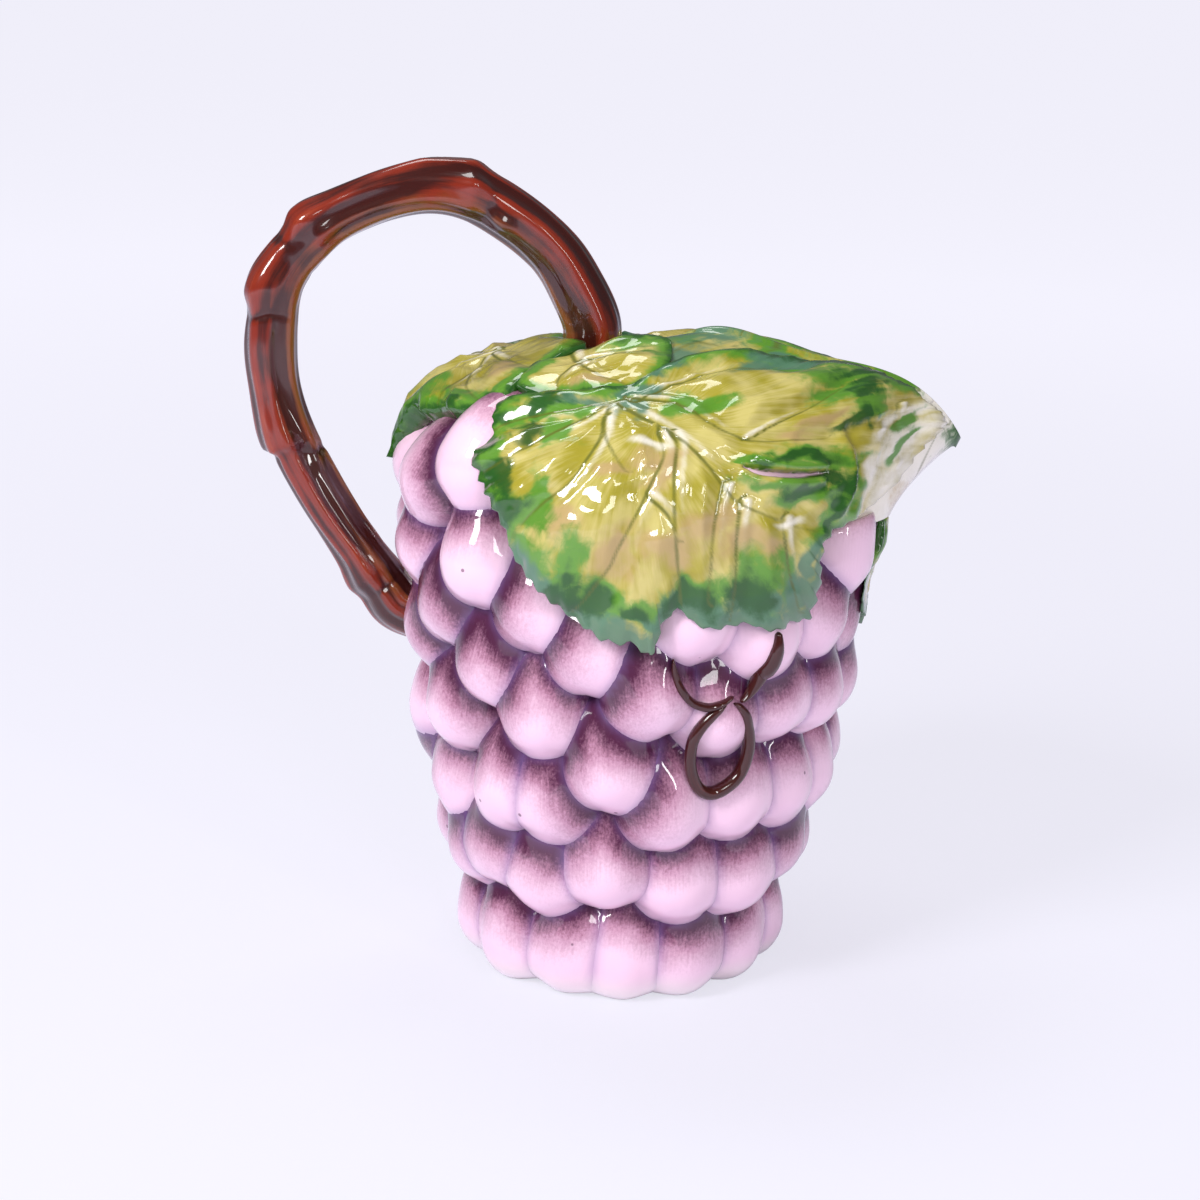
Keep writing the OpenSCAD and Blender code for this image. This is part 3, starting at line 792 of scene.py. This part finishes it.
def strokes(q, blobs):
    """How strongly brush strokes cover points, 1 in their middles."""
    total = np.zeros(len(q))
    q = q + 4*stack(rumple(q, 8, 41), rumple(q, 8, 42)) + 1.5*stack(rumple(q, 3, 43), rumple(q, 3, 44))
    for x, y, w, h in blobs:
        total = np.maximum(total, np.exp(-((q[:, 0] - x)/w)**2 - ((q[:, 1] - y)/h)**2))
    return total


def leaf_piece(name, stalk, edge, ribs, green=(), dark=(), grey=(), tan=(), bare=(), lift=0.0, slit=None, fold=None,
               margin=9.0, reflection_from=None, tooth=1.0, sink=0.0, root=4.5, far=False):
    """A vine leaf laid on the bed: ribs, swellings between them, a toothed thin edge and its painted strokes."""
    # lift raises the blade, sink presses it in beside its stalk, root is how deep its underside goes
    s = sizes()
    stalk = np.array(stalk, float)
    smooth = curve(edge, 12, True)
    columns = int(even(smooth, 4, True)[1]/EDGE_STEP)
    line, _ = even(smooth, columns, True)
    line = teeth(line, stalk, tooth*s.leaf_tooth/MM*(0.2 + 0.8*ease((line[:, 1] + 62)/24)), TOOTH_STEP)
    line = np.concatenate([line, line[:1]])
    rows = LEAF_RINGS + EDGE_ROWS + BELOW_ROWS

    def place(u, v):
        k = np.rint(v*rows)
        e = line[np.rint(u*columns).astype(int)]
        share = np.where(k <= LEAF_RINGS, (k/LEAF_RINGS)**0.85,
                         np.where(k <= LEAF_RINGS + EDGE_ROWS, 1.0, (rows - k)/BELOW_ROWS))
        q = stalk + (e - stalk)*share[:, None]
        over, down = q[:, 0], q[:, 1]
        inside = np.linalg.norm(e - q, axis=1)
        rib = np.full(len(q), 1e3)
        ridge, vein, cut, bright = np.zeros((4, len(q)))
        for points in ribs:
            d, along, side = from_line(q, curve(points, 5))
            fade = 1 - 0.7*along
            rib = np.minimum(rib, d + 2.5*along)
            ridge = np.maximum(ridge, fade*bell(d/(1.1 + 0.9*fade)))
            vein = np.maximum(vein, (0.4 + 0.4*fade)*bell((d*side - 2.0)/0.8))
        puff = 1 - bell(rib/7.0)
        drop = np.exp(-(inside/3.2)**1.4)
        swell = 0.7*rumple(q, 12, 2)
        for size, seed, part in ((8, 4, 0.8), (4, 6, 0.18)):
            swell = swell + part*(0.35 - np.abs(rumple(q, size, seed)))
        height = s.leaf_lift/MM + lift + s.leaf_puff/MM*(puff - 0.5) + s.rib_height/MM*ridge
        height = height + swell*(1 - 0.5*drop) - 1.4*drop + 0.5*drop*rumple(q, 8, 9)
        if slit:
            d, along, side = from_line(q, curve(slit, 6))
            width = 1.15*np.sin(np.pi*np.clip(along*0.92 + 0.06, 0, 1))**0.7
            cut = ease((width + 0.5 - d)/1.0)
            height = height - 4.6*cut + 1.5*bell((d - width - 2.2)/1.9)*(along > 0.02)*(along < 0.98)
            bright = bell((d - width - 2.4)/2.2)*(side < 0)
        if fold:
            d, along, side = from_line(q, curve(fold, 6))
            beyond = ease(d/2.2)*(side > 0)*ease((34 - d)/14)
            height = height + 0.9*bell(d/1.5) - 1.3*beyond*ease(along*6)*ease((1 - along)*6)
        height = np.maximum(height, 0.5) - sink*(1 - 0.8*bell((down - 5)/7))*(1 - 0.6*ease((down - 20)/14))
        # Beside the mouth the underside stays within the roof
        near_mouth = np.maximum(ease((over - 45)/18)*ease((-down - 12)/18), ease((-down - 60)/16))
        deep = root - 3.5*near_mouth*(not sink)
        wall = np.clip((k - LEAF_RINGS)/EDGE_ROWS, 0, 1)
        height = np.where(k > LEAF_RINGS, height*(1 - wall) - deep*wall, height)
        across = np.pi*SKIRT_R - over if far else over
        points = bed(across, down) + height[:, None]*bed_normal(across, down)
        edge_green = bell(inside/margin)
        sky_reflections = strokes(q, grey)
        # Towards the lower edge the margin is painted reflection in grey green rather than green
        if reflection_from is not None:
            low = ease((down - reflection_from)/9)
            sky_reflections = np.maximum(sky_reflections, bell(inside/(0.8*margin))*low)
            edge_green = edge_green*(1 - 0.75*low)
        pale = strokes(q, bare)
        edge_green = edge_green*(1 - 0.9*ease(1.6*pale))
        spoke = q - stalk
        angle = np.arctan2(spoke[:, 1], spoke[:, 0])
        reach = np.linalg.norm(spoke, axis=1)
        return points, {
            "green": np.maximum(np.maximum(strokes(q, green), 0.9*edge_green), 0.8*bright),
            "dark": np.maximum(strokes(q, dark), np.maximum(0.75*edge_green**4, 0.8*cut)),
            "grey": sky_reflections,
            "tan": strokes(q, tan),
            "vein": np.clip(vein, 0, 1)*(inside > 1.5)*(1 - 0.5*pale),
            "pink": ease((cut - 0.75)/0.2),
            "bare": np.maximum(0.9*ridge, 0.98*pale),
            "grain": stack(reach, angle*24, reach*0),
        }

    return lofted(name, columns, rows, place)


class PITCHER_OT_leaves(bpy.types.Operator):
    """Lay the vine leaves over the grapes and the roof"""

    bl_idname = "pitcher.leaves"
    bl_label = "Leaves"

    def execute(self, context):
        material = leaf_glaze()
        for name, node, far, lift in (
            ("vine_leaf_front", "front_leaf", False, -0.3), ("vine_leaf_back", "back_leaf", True, 1.0),
        ):
            leaf = leaf_piece(
                name, (-14, -50), FRONT_EDGE, FRONT_RIBS, FRONT_GREEN, FRONT_DARK, FRONT_SKY_REFLECTION, FRONT_TAN, FRONT_BARE,
                slit=((17, -30.5), (22, -28), (28, -26.8), (35, -26.5), (41, -27.5)),
                fold=((50, -12), (51.5, -22), (48.5, -32), (42, -41), (38, -50)), lift=lift, reflection_from=-6, far=far)
            finished(leaf, node, material)
        for name, node, far in (("root_leaf_near", "root_leaf", False), ("root_leaf_far", "far_root_leaf", True)):
            leaf = leaf_piece(
                name, (-54, -74), ROOT_EDGE,
                (((-74, -80), (-60, -75), (-46, -71), (-34, -69)), ((-62, -76), (-54, -84), (-44, -87)),
                 ((-58, -74), (-56, -66), (-50, -60))),
                green=((-60, -88, 12, 5), (-70, -64, 6, 6), (-40, -84, 6, 4)), dark=((-66, -89, 9, 4),),
                tan=((-46, -66, 6, 4),), lift=-0.6, margin=4.5, tooth=0.6, far=far)
            finished(leaf, node, material)
        mid, sides = -QUARTER, (-1, 1)
        left, right = (moved(HANDLE_SIDE, mid, k) for k in sides)
        back = leaf_piece(
            "handle_leaf_blade", (mid, -58), left[::-1] + ((mid, -8),) + right + ((mid, -85),),
            [moved(rib, mid, k) for k in sides for rib in HANDLE_RIBS] + [((mid, -66), (mid, -44), (mid, -14))],
            green=[blob for k in sides for blob in moved(HANDLE_GREEN, mid, k)],
            dark=[blob for k in sides for blob in moved(HANDLE_DARK, mid, k)],
            tan=moved(((30, -62, 7, 5), (-30, -62, 7, 5)), mid), margin=7.0, tooth=0.35)
        finished(back, "handle_leaf", material)
        mid = QUARTER
        left, right = (moved(UNDER_SIDE, mid, k) for k in sides)
        # Its grey strokes and lower margin are painted reflection
        under = leaf_piece(
            "under_leaf_blade", (mid, 0), left + ((mid, 37),) + right[::-1] + ((mid, -14.5),),
            [((mid, -12), (mid, 10), (mid, 32))] + [moved(((0, -8), (12, 8), (22, 20)), mid, k) for k in sides],
            green=moved(((-18, 10, 6, 9), (18, 10, 6, 9), (0, 24, 8, 6)), mid), grey=((mid, 30, 14, 7),),
            tan=moved(((-6, 6, 5, 6), (8, 2, 5, 6)), mid), lift=-2.0, margin=5.0, reflection_from=6, sink=3.2, root=2.9)
        finished(under, "under_leaf", material)
        return {"FINISHED"}


# How far the inside lies below the outline between lip and foot, and below the lip's inner edge
INSIDE_DROP, LIP_SET = 3.5, 0.3


class PITCHER_OT_shoulder(bpy.types.Operator):
    """Raise the leafy roof and the beak around the mouth"""

    bl_idname = "pitcher.shoulder"
    bl_label = "Shoulder and spout"

    def execute(self, context):
        material = leaf_glaze()
        lip = sizes().mouth_lip/MM
        finished(self.part("leafy_roof", SPOUT_HALF, 360 - SPOUT_HALF, 300, lip), "shoulder", material)
        finished(self.part("beak_spout", -SPOUT_HALF, SPOUT_HALF, 150, lip), "spout", material)
        return {"FINISHED"}

    def part(self, name, start, end, columns, lip):
        wall_rows, lip_rows = 50, 10
        rows = 2*wall_rows + lip_rows + 1

        def place(u, v):
            column = np.rint(u*(columns + 2))
            cap = (column == 0) | (column == columns + 2)
            turn = np.radians(start + (end - start)*np.clip((column - 1)/columns, 0, 1))
            k = np.rint(v*rows)
            down = np.clip((k - wall_rows - lip_rows)/wall_rows, 0, 1)
            rise = np.where(k <= wall_rows, k/wall_rows, 1 - down)
            off = turn_off(turn)
            spread = CUP_R + (GRAPE_OUT + GRAPE_R)*ease((SPOUT_FOOT - off)/SPOUT_HALF)
            low = dome(turn, rise, spread, CUP_H, rim(turn), DOME_POWER)
            high = dome(turn, rise, SKIRT_R, SKIRT_Z, rim(turn), BED_POWER)
            blend = ease((rise - 0.45)/0.25)*ease((off - 30)/40)
            outer = low*(1 - blend[:, None]) + high*blend[:, None]
            fan = turn*38
            fold = 0.5*rumple(stack(fan, rise*40), 9, 12) + 0.6*rumple(stack(fan*0.5, rise*40), 14, 13)
            out = unit(stack(np.cos(turn), np.sin(turn), 0.6 + 0*turn))
            outer = outer + out*((fold*0.9 - 0.2)*np.sin(np.pi*rise)**0.7)[:, None]
            inner = dome(turn, rise, CUP_R - WALL, CUP_H, rim(turn, lip) - np.array((0, 0, LIP_SET)), DOME_POWER)
            inner[:, 2] -= INSIDE_DROP*ease((1 - rise)/0.16)*ease(rise/0.3)
            nose = bell(off/24)
            blunt = nose*ease((rise - 0.8)/0.2)
            outer = outer - stack(1.3*blunt, 0*blunt, 1.8*nose*np.sin(np.pi*rise) + 2.2*blunt)
            bend = np.clip((k - wall_rows)/lip_rows, 0, 1)*np.pi
            top = rim(turn) + (rim(turn, lip) - rim(turn))*((1 - np.cos(bend))/2)[:, None]
            top[:, 2] += (0.3 + 0.2*nose)*lip*np.sin(bend)
            points = inner
            for chosen, surface in (
                (k <= wall_rows + lip_rows, top), ((k <= wall_rows) | (k == rows), outer), (cap, (outer + inner)/2),
            ):
                points = np.where(chosen[:, None], surface, points)
            beak = ease((60 - off)/16)
            tip = np.exp(-(off/24)**2 - ((rise - 1)/0.3)**2)
            patch = rumple(low, 13, 21)
            sharp = rumple(low, 8, 22)
            line = np.exp(-((np.sin(fan/4.2 + 1.3*patch)**2)/0.03))*ease((rise - 0.25)/0.2)
            outside = k <= wall_rows + 0.6*lip_rows
            rolled = (1 - beak)*ease((rise - 0.9)/0.08)
            ridge = 0.55*crest(turn)*ease((rise - 0.7)/0.2)
            return points, {
                "green": outside*np.clip(
                    np.maximum(0.75*ease(patch*2 - 0.25)*(1 - 0.75*beak) + 0.4*rolled, 1.1*tip), 0, 1),
                "dark": outside*np.clip(np.maximum(0.8*ease(sharp*2 - 0.75)*(1 - 0.9*beak), 1.2*tip), 0, 1),
                # Painted reflection in grey green: loose patches, a band round the beak's tip, and along the crest
                "grey": outside*np.clip(
                    0.7*ease(-sharp*2 - 0.5)*(1 - 0.6*beak) + 0.5*np.sqrt(tip) + ridge, 0, 1),
                "tan": outside*0.6*ease(-patch*2 - 0.6),
                "vein": outside*0.6*line,
                "pink": 0*turn,
                # Pale paint on the beak's flank; along the crest the pale is painted reflection
                "bare": np.where(outside, 1.1*beak + 0.6*ridge, 2.0),
                "grain": stack(rise*55, fan*0.8, 0*turn),
            }

        return lofted(name, columns + 2, rows, place)


BRANCH_LINE = (
    (-16, 180), (-16, 190), (-21.5, 201), (-28.5, 210.6), (-40, 219.6), (-52, 225.6), (-63.5, 227),
    (-76.5, 224), (-88.5, 218), (-97.5, 210), (-104.5, 199.5), (-106.4, 188), (-106.4, 176), (-103.8, 163),
    (-99.8, 152), (-93.8, 140.5), (-87, 130), (-79.8, 120.3), (-73.8, 111.5), (-69.5, 106), (-63, 103.5),
    (-56, 103),
)
# Where along the line a knot stands, its share of the full height, and its reach before and after
KNOTS = (
    (5.0, 1.0, 0.25, 0.9), (8.75, 1.3, 0.5, 0.3), (10.3, 1.2, 0.6, 0.3), (13.85, 1.3, 0.9, 0.14),
    (17.4, 0.9, 0.6, 0.3),
)
# Buds beside the upper knot: place along the line, place around it, height, reach
BUDS = ((4.1, 4.3, 1.5, 3.4), (4.9, 5.3, 1.3, 3.0), (9.2, 4.9, 0.8, 3.0))
# Share of the branch's radius at places along the line
BRANCH_AT = (0, 1, 3, 5, 9, 12, 14.5, 17, 19, 21)
BRANCH_SHARE = np.array((1.12, 1.08, 1.0, 1.02, 1.02, 1.0, 0.98, 0.92, 1.08, 1.2))
# Millimetres around the branch for a radian, and along it for a step of its line
AROUND, ALONG = 8, 11


class PITCHER_OT_handle(bpy.types.Operator):
    """Model the vine branch with its knots, buds and bark"""

    bl_idname = "pitcher.handle"
    bl_label = "Handle"

    def execute(self, context):
        s = sizes()
        columns, steps, caps = 72, 16, 6
        line = curve(BRANCH_LINE, steps)
        rows = len(line) - 1
        run = lengths(line)
        tangent = unit(np.gradient(line, axis=0))

        def place(u, v):
            k = np.rint(v*(rows + 2*caps)).astype(int)
            i = np.clip(k - caps, 0, rows)
            at = i/steps
            theta = u*2*np.pi
            along = run[i]
            mid = stack(line[i, 0], 0*along, line[i, 1])
            t = stack(tangent[i, 0], 0*along, tangent[i, 1])
            y = np.array((0.0, 1.0, 0.0))
            across = np.cross(np.broadcast_to(y, t.shape), t)
            radius = np.interp(at, BRANCH_AT, BRANCH_SHARE*s.branch_radius/MM)
            knot, ring, bud = np.zeros((3, len(u)))
            for where, high, before, after in KNOTS:
                slant = at + 0.12*np.sin(theta + where) + 0.06*np.sin(3*theta)
                bulge = np.exp(
                    -np.clip((where - slant)/before, 0, 9)**2 - np.clip((slant - where)/after, 0, 9)**2)
                knot = knot + high*bulge*(0.45 + 0.55*np.cos(theta + 0.5))
                step = where + (2*after if after < before else -2*before)
                ring = np.maximum(ring, high*bell((slant - step)/0.1)*(0.5 + 0.5*np.sin(2*theta + where)))
            for where, turn, high, reach in BUDS:
                off = np.abs((theta - turn + np.pi) % (2*np.pi) - np.pi)*AROUND
                bud = bud + high*np.exp(-(((at - where)*ALONG/reach)**2 + (off/reach)**2))
            twist = theta + 0.010*along
            right, up = np.cos(theta)*AROUND, np.sin(theta)*AROUND
            loop = stack(right, up, along*0.16)
            bark = np.sin(4*twist + 2.4*rumple(loop, 6, 31))
            bark = bark + 0.6*np.sin(9*theta - 0.02*along + 2*rumple(loop, 5, 33))
            lump = rumple(stack(right, up, along), 13, 35)
            radius = radius + s.knot_height/MM*knot + bud - 0.3*ring + s.bark_depth/MM*0.6*bark + 0.45*lump
            end = np.where(k < caps, k/caps, np.where(k > rows + caps, (rows + 2*caps - k)/caps, 1.0))
            radius = radius*np.sin(np.pi/2*end)
            push = np.where(k < caps, -1.0, 1.0)*(1 - np.cos(np.pi/2*(1 - end)))*0.5
            points = mid + t*push[:, None] + across*(radius*np.cos(theta))[:, None]
            points = points + y*(radius*np.sin(theta)*1.04)[:, None]
            return points, {
                # Darker in the bark's grooves and rings, lighter on its ridges and knots
                "darkening": np.clip(0.3 - 0.3*bark - 0.15*knot + 0.35*ring, -0.3, 1),
                "inner": 0.5 - 0.5*np.cos(theta),
                "grain": stack(along, right, up),
            }

        piece = lofted("vine_branch", columns, rows + 2*caps, place)
        finished(piece, "handle", branch_glaze())
        return {"FINISHED"}


# Tendrils: lines of [angle, share of the skirt's height], and their widths along the line
TENDRILS = {
    "tendril_blade": (
        ((28.5, 0.85), (28.5, 0.81), (27.8, 0.766), (25.0, 0.72), (22.5, 0.70)), (0.5, 1.15, 1.45, 0.9, 0.25)),
    "tendril_hook": (
        ((4.5, 0.80), (5.2, 0.77), (7, 0.735), (10, 0.707), (14, 0.695), (17.5, 0.70), (20.5, 0.715)),
        (0.2, 0.6, 0.7, 0.7, 0.75, 0.6, 0.2)),
    "tendril_loop": (
        ((20.5, 0.70), (22.5, 0.69), (25, 0.66), (27, 0.60), (26, 0.545), (22.5, 0.515), (18, 0.503), (14, 0.52),
         (11.4, 0.565), (11.2, 0.62), (13.6, 0.66), (17.2, 0.69), (19.0, 0.70)),
        (0.4, 0.8, 0.95, 1.0, 1.0, 1.1, 1.15, 1.05, 1.0, 0.95, 0.95, 0.9, 0.4)),
}
# Millimetres along the skirt for one degree, and the depths below the grapes' outside that are tried for a seat
DEGREE = 1.2
DEPTHS = np.linspace(-16, 2, 73)
# A tendril's seat is smoothed over this many points, and goes no deeper than this
SEAT_SPAN, SEAT_LOW = 25, -3.0


class PITCHER_OT_tendrils(bpy.types.Operator):
    """Lay the tendrils over the grapes"""

    bl_idname = "pitcher.tendrils"
    bl_label = "Tendrils"

    def execute(self, context):
        s = sizes()
        half_width, half_length = s.grape_width/MM/2, s.grape_length/MM/2
        places = grape_places()
        material = branch_glaze()
        window = np.hanning(SEAT_SPAN)/np.hanning(SEAT_SPAN).sum()
        for name, (path, widths) in TENDRILS.items():
            line, _ = even(curve([(a*DEGREE, SKIRT_Z*h) for a, h in path], 12), 90)
            angle, z = np.radians(line[:, 0]/DEGREE), line[:, 1]
            out = stack(np.sin(angle), -np.cos(angle), 0*angle)
            level = stack(0*z, 0*z, z)
            high = np.full(len(line), DEPTHS[0])
            for p in DEPTHS:
                spot = out*(cluster_r(z) + p)[:, None] + level
                gap = np.min(
                    [grape_gap(spot, mid, axes, half_width, half_length) for _, mid, axes in places], axis=0)
                high = np.where(gap < 0, np.maximum(high, p), high)
            high = np.convolve(np.pad(high, SEAT_SPAN//2, "edge"), window, "valid")
            high = np.maximum(high, SEAT_LOW)
            middle = out*(cluster_r(z) + high + 0.45)[:, None] + level
            t = unit(np.gradient(middle, axis=0))
            side = unit(np.cross(t, out))
            up = np.cross(side, t)
            wide = np.interp(np.linspace(0, 1, len(line)), np.linspace(0, 1, len(widths)), widths)
            wide = wide*s.tendril_width/MM/2
            run = lengths(middle)
            columns, rows = 20, len(line) - 1

            def place(u, v):
                k = np.rint(v*rows).astype(int)
                theta = 2*np.pi*u
                end = np.clip(np.minimum(k, rows - k)/3, 0.0, 1)**0.5
                w = wide[k]*end
                h = (0.55*wide[k] + 0.75)*end
                lift = np.where(np.sin(theta) > 0, 1.0, 1.6)
                points = middle[k] + side[k]*(w*np.cos(theta))[:, None] + up[k]*(h*lift*np.sin(theta))[:, None]
                return points, {
                    # Painted shade: the tendril's flanks and underside darker, its outer face lighter
                    "darkening": 0.95 - 0.5*np.clip(np.sin(theta), 0, 1),
                    "inner": 0*theta,
                    "grain": stack(run[k], np.cos(theta)*2, np.sin(theta)*2),
                }

            finished(lofted(name + "_coil", columns, rows, place), name, material)
        return {"FINISHED"}


class PITCHER_OT_cup(bpy.types.Operator):
    """Glaze the cup that shows inside the mouth and under the foot"""

    bl_idname = "pitcher.cup"
    bl_label = "Cup"

    def execute(self, context):
        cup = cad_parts["cup"]
        cup.data.materials.clear()
        cup.data.materials.append(cream_glaze())
        return {"FINISHED"}


class PITCHER_OT_stage(bpy.types.Operator):
    """Set the floor, the lamps and the camera"""

    bl_idname = "pitcher.stage"
    bl_label = "Stage"

    def execute(self, context):
        c = colours()
        scene = context.scene
        scene.view_settings.view_transform = "Standard"
        only()
        bpy.ops.mesh.primitive_plane_add(size=60)
        floor = context.object
        floor.name = floor.data.name = "studio_floor"
        # Matt paper sweep, three quarters of it lit by itself to the camera, so that shadows stay pale
        paper = bpy.data.materials.new("studio_paper")
        paper.use_nodes = True
        tree = paper.node_tree
        tree.nodes.clear()
        rays = add(tree, "LightPath").outputs
        seen = add(tree, "Math", {"operation": "MAXIMUM"},
                   {0: rays["Is Camera Ray"], 1: rays["Is Transmission Ray"]}).outputs[0]
        share = add(tree, "Math", {"operation": "MULTIPLY", 1: 0.74}, {0: seen}).outputs[0]
        place = add(tree, "TexCoord").outputs["Object"]
        away = add(tree, "VectorMath", {"operation": "LENGTH"}, {0: place}).outputs["Value"]
        # A little brighter from 0.25 m to 1.5 m away
        bright = add(tree, "MapRange", {"interpolation_type": SOFT, 1: 0.25, 2: 1.5, 3: 0.97, 4: 1.16},
                     {0: away}).outputs[0]
        matt = add(tree, "BsdfDiffuse", {"Color": rgba(c.paper)}).outputs[0]
        glow = add(tree, "Emission", {"Color": rgba(c.floor)}, {"Strength": bright}).outputs[0]
        both = add(tree, "MixShader", {}, {0: share, 1: matt, 2: glow}).outputs[0]
        add(tree, "OutputMaterial", {}, {0: both})
        floor.data.materials.append(paper)
        # Soft light from all round, less of it in reflections, and the floor's colour to the camera
        world = bpy.data.worlds.new("studio_air")
        scene.world = world
        world.use_nodes = True
        tree = world.node_tree
        tree.nodes.clear()
        rays = add(tree, "LightPath").outputs
        light, dim, shown = (
            add(tree, "Background", {"Color": rgba(value), "Strength": strength}).outputs[0]
            for value, strength in ((c.air, 0.4), (c.air, 0.14), (c.floor, 1.0)))
        for ray, other in (("Is Glossy Ray", dim), ("Is Camera Ray", shown)):
            light = add(tree, "MixShader", {}, {0: rays[ray], 1: light, 2: other}).outputs[0]
        add(tree, "OutputWorld", {}, {0: light})
        for name, spot, size, power in (
            ("softbox_left", (-0.85, -0.8, 0.95), (0.36, 0.5), 15.5),
            ("softbox_front", (0.25, -1.25, 0.75), (0.3, 0.3), 3.2),
            ("strip_right", (0.62, -0.95, 0.55), (0.06, 0.5), 2.0),
            ("softbox_top", (-0.2, 0.35, 1.3), (0.6, 0.4), 5.0),
        ):
            bpy.ops.object.light_add(type="AREA", location=spot)
            lamp = context.object
            lamp.name = name
            lamp.data.shape = "RECTANGLE"
            lamp.data.size, lamp.data.size_y = size
            lamp.data.energy = power
            lamp.rotation_euler = (Vector(spot) - Vector((0, 0, 0.11))).to_track_quat("Z", "Y").to_euler()
        bpy.ops.object.camera_add()
        camera = context.object
        camera.name = "photo_camera"
        # 5 degrees to the handle's side, 16.5 degrees up, rolled 3 degrees, 700 mm from a point 105 mm up the jug
        azimuth, rise, roll = np.radians((-5.0, 16.5, 3.0))
        back = np.array((np.sin(azimuth)*np.cos(rise), -np.cos(azimuth)*np.cos(rise), np.sin(rise)))
        right = np.array((np.cos(azimuth), np.sin(azimuth), 0.0))
        up = np.cross(back, right)
        turned = (np.cos(roll)*right + np.sin(roll)*up, np.cos(roll)*up - np.sin(roll)*right, back)
        spot = np.array((0, 0, 0.105)) + 0.7*back
        rows = [[*(axis[k] for axis in turned), spot[k]] for k in range(3)]
        camera.matrix_world = Matrix(rows + [[0, 0, 0, 1]])
        camera.data.sensor_width = 36
        camera.data.lens = 71.1
        camera.data.shift_x, camera.data.shift_y = -0.0284, 0.0096
        camera.data.clip_end = 200
        scene.camera = camera
        return {"FINISHED"}


STEPS = (
    PITCHER_OT_cup, PITCHER_OT_grapes, PITCHER_OT_shoulder, PITCHER_OT_leaves, PITCHER_OT_handle, PITCHER_OT_tendrils,
    PITCHER_OT_stage,
)


class PITCHER_PT_panel(bpy.types.Panel):
    """Steps, sizes and colours of the pitcher"""

    bl_label = "Grape Cluster Pitcher"
    bl_idname = "PITCHER_PT_panel"
    bl_space_type = "VIEW_3D"
    bl_region_type = "UI"
    bl_category = "Pitcher"

    def draw(self, context):
        for step in STEPS:
            self.layout.operator(step.bl_idname)
        for group in (context.scene.pitcher_sizes, context.scene.pitcher_colours):
            box = self.layout.box()
            for name in group.__annotations__:
                box.prop(group, name)


CLASSES = (PitcherSizes, PitcherColours) + STEPS + (PITCHER_PT_panel,)


def register():
    for cls in CLASSES:
        bpy.utils.register_class(cls)
    bpy.types.Scene.pitcher_sizes = bpy.props.PointerProperty(type=PitcherSizes)
    bpy.types.Scene.pitcher_colours = bpy.props.PointerProperty(type=PitcherColours)


def unregister():
    del bpy.types.Scene.pitcher_colours
    del bpy.types.Scene.pitcher_sizes
    for cls in reversed(CLASSES):
        bpy.utils.unregister_class(cls)


def main():
    register()
    bpy.ops.pitcher.cup()
    bpy.ops.pitcher.grapes()
    bpy.ops.pitcher.shoulder()
    bpy.ops.pitcher.leaves()
    bpy.ops.pitcher.handle()
    bpy.ops.pitcher.tendrils()
    bpy.ops.pitcher.stage()


if __name__ == "__main__":
    main()
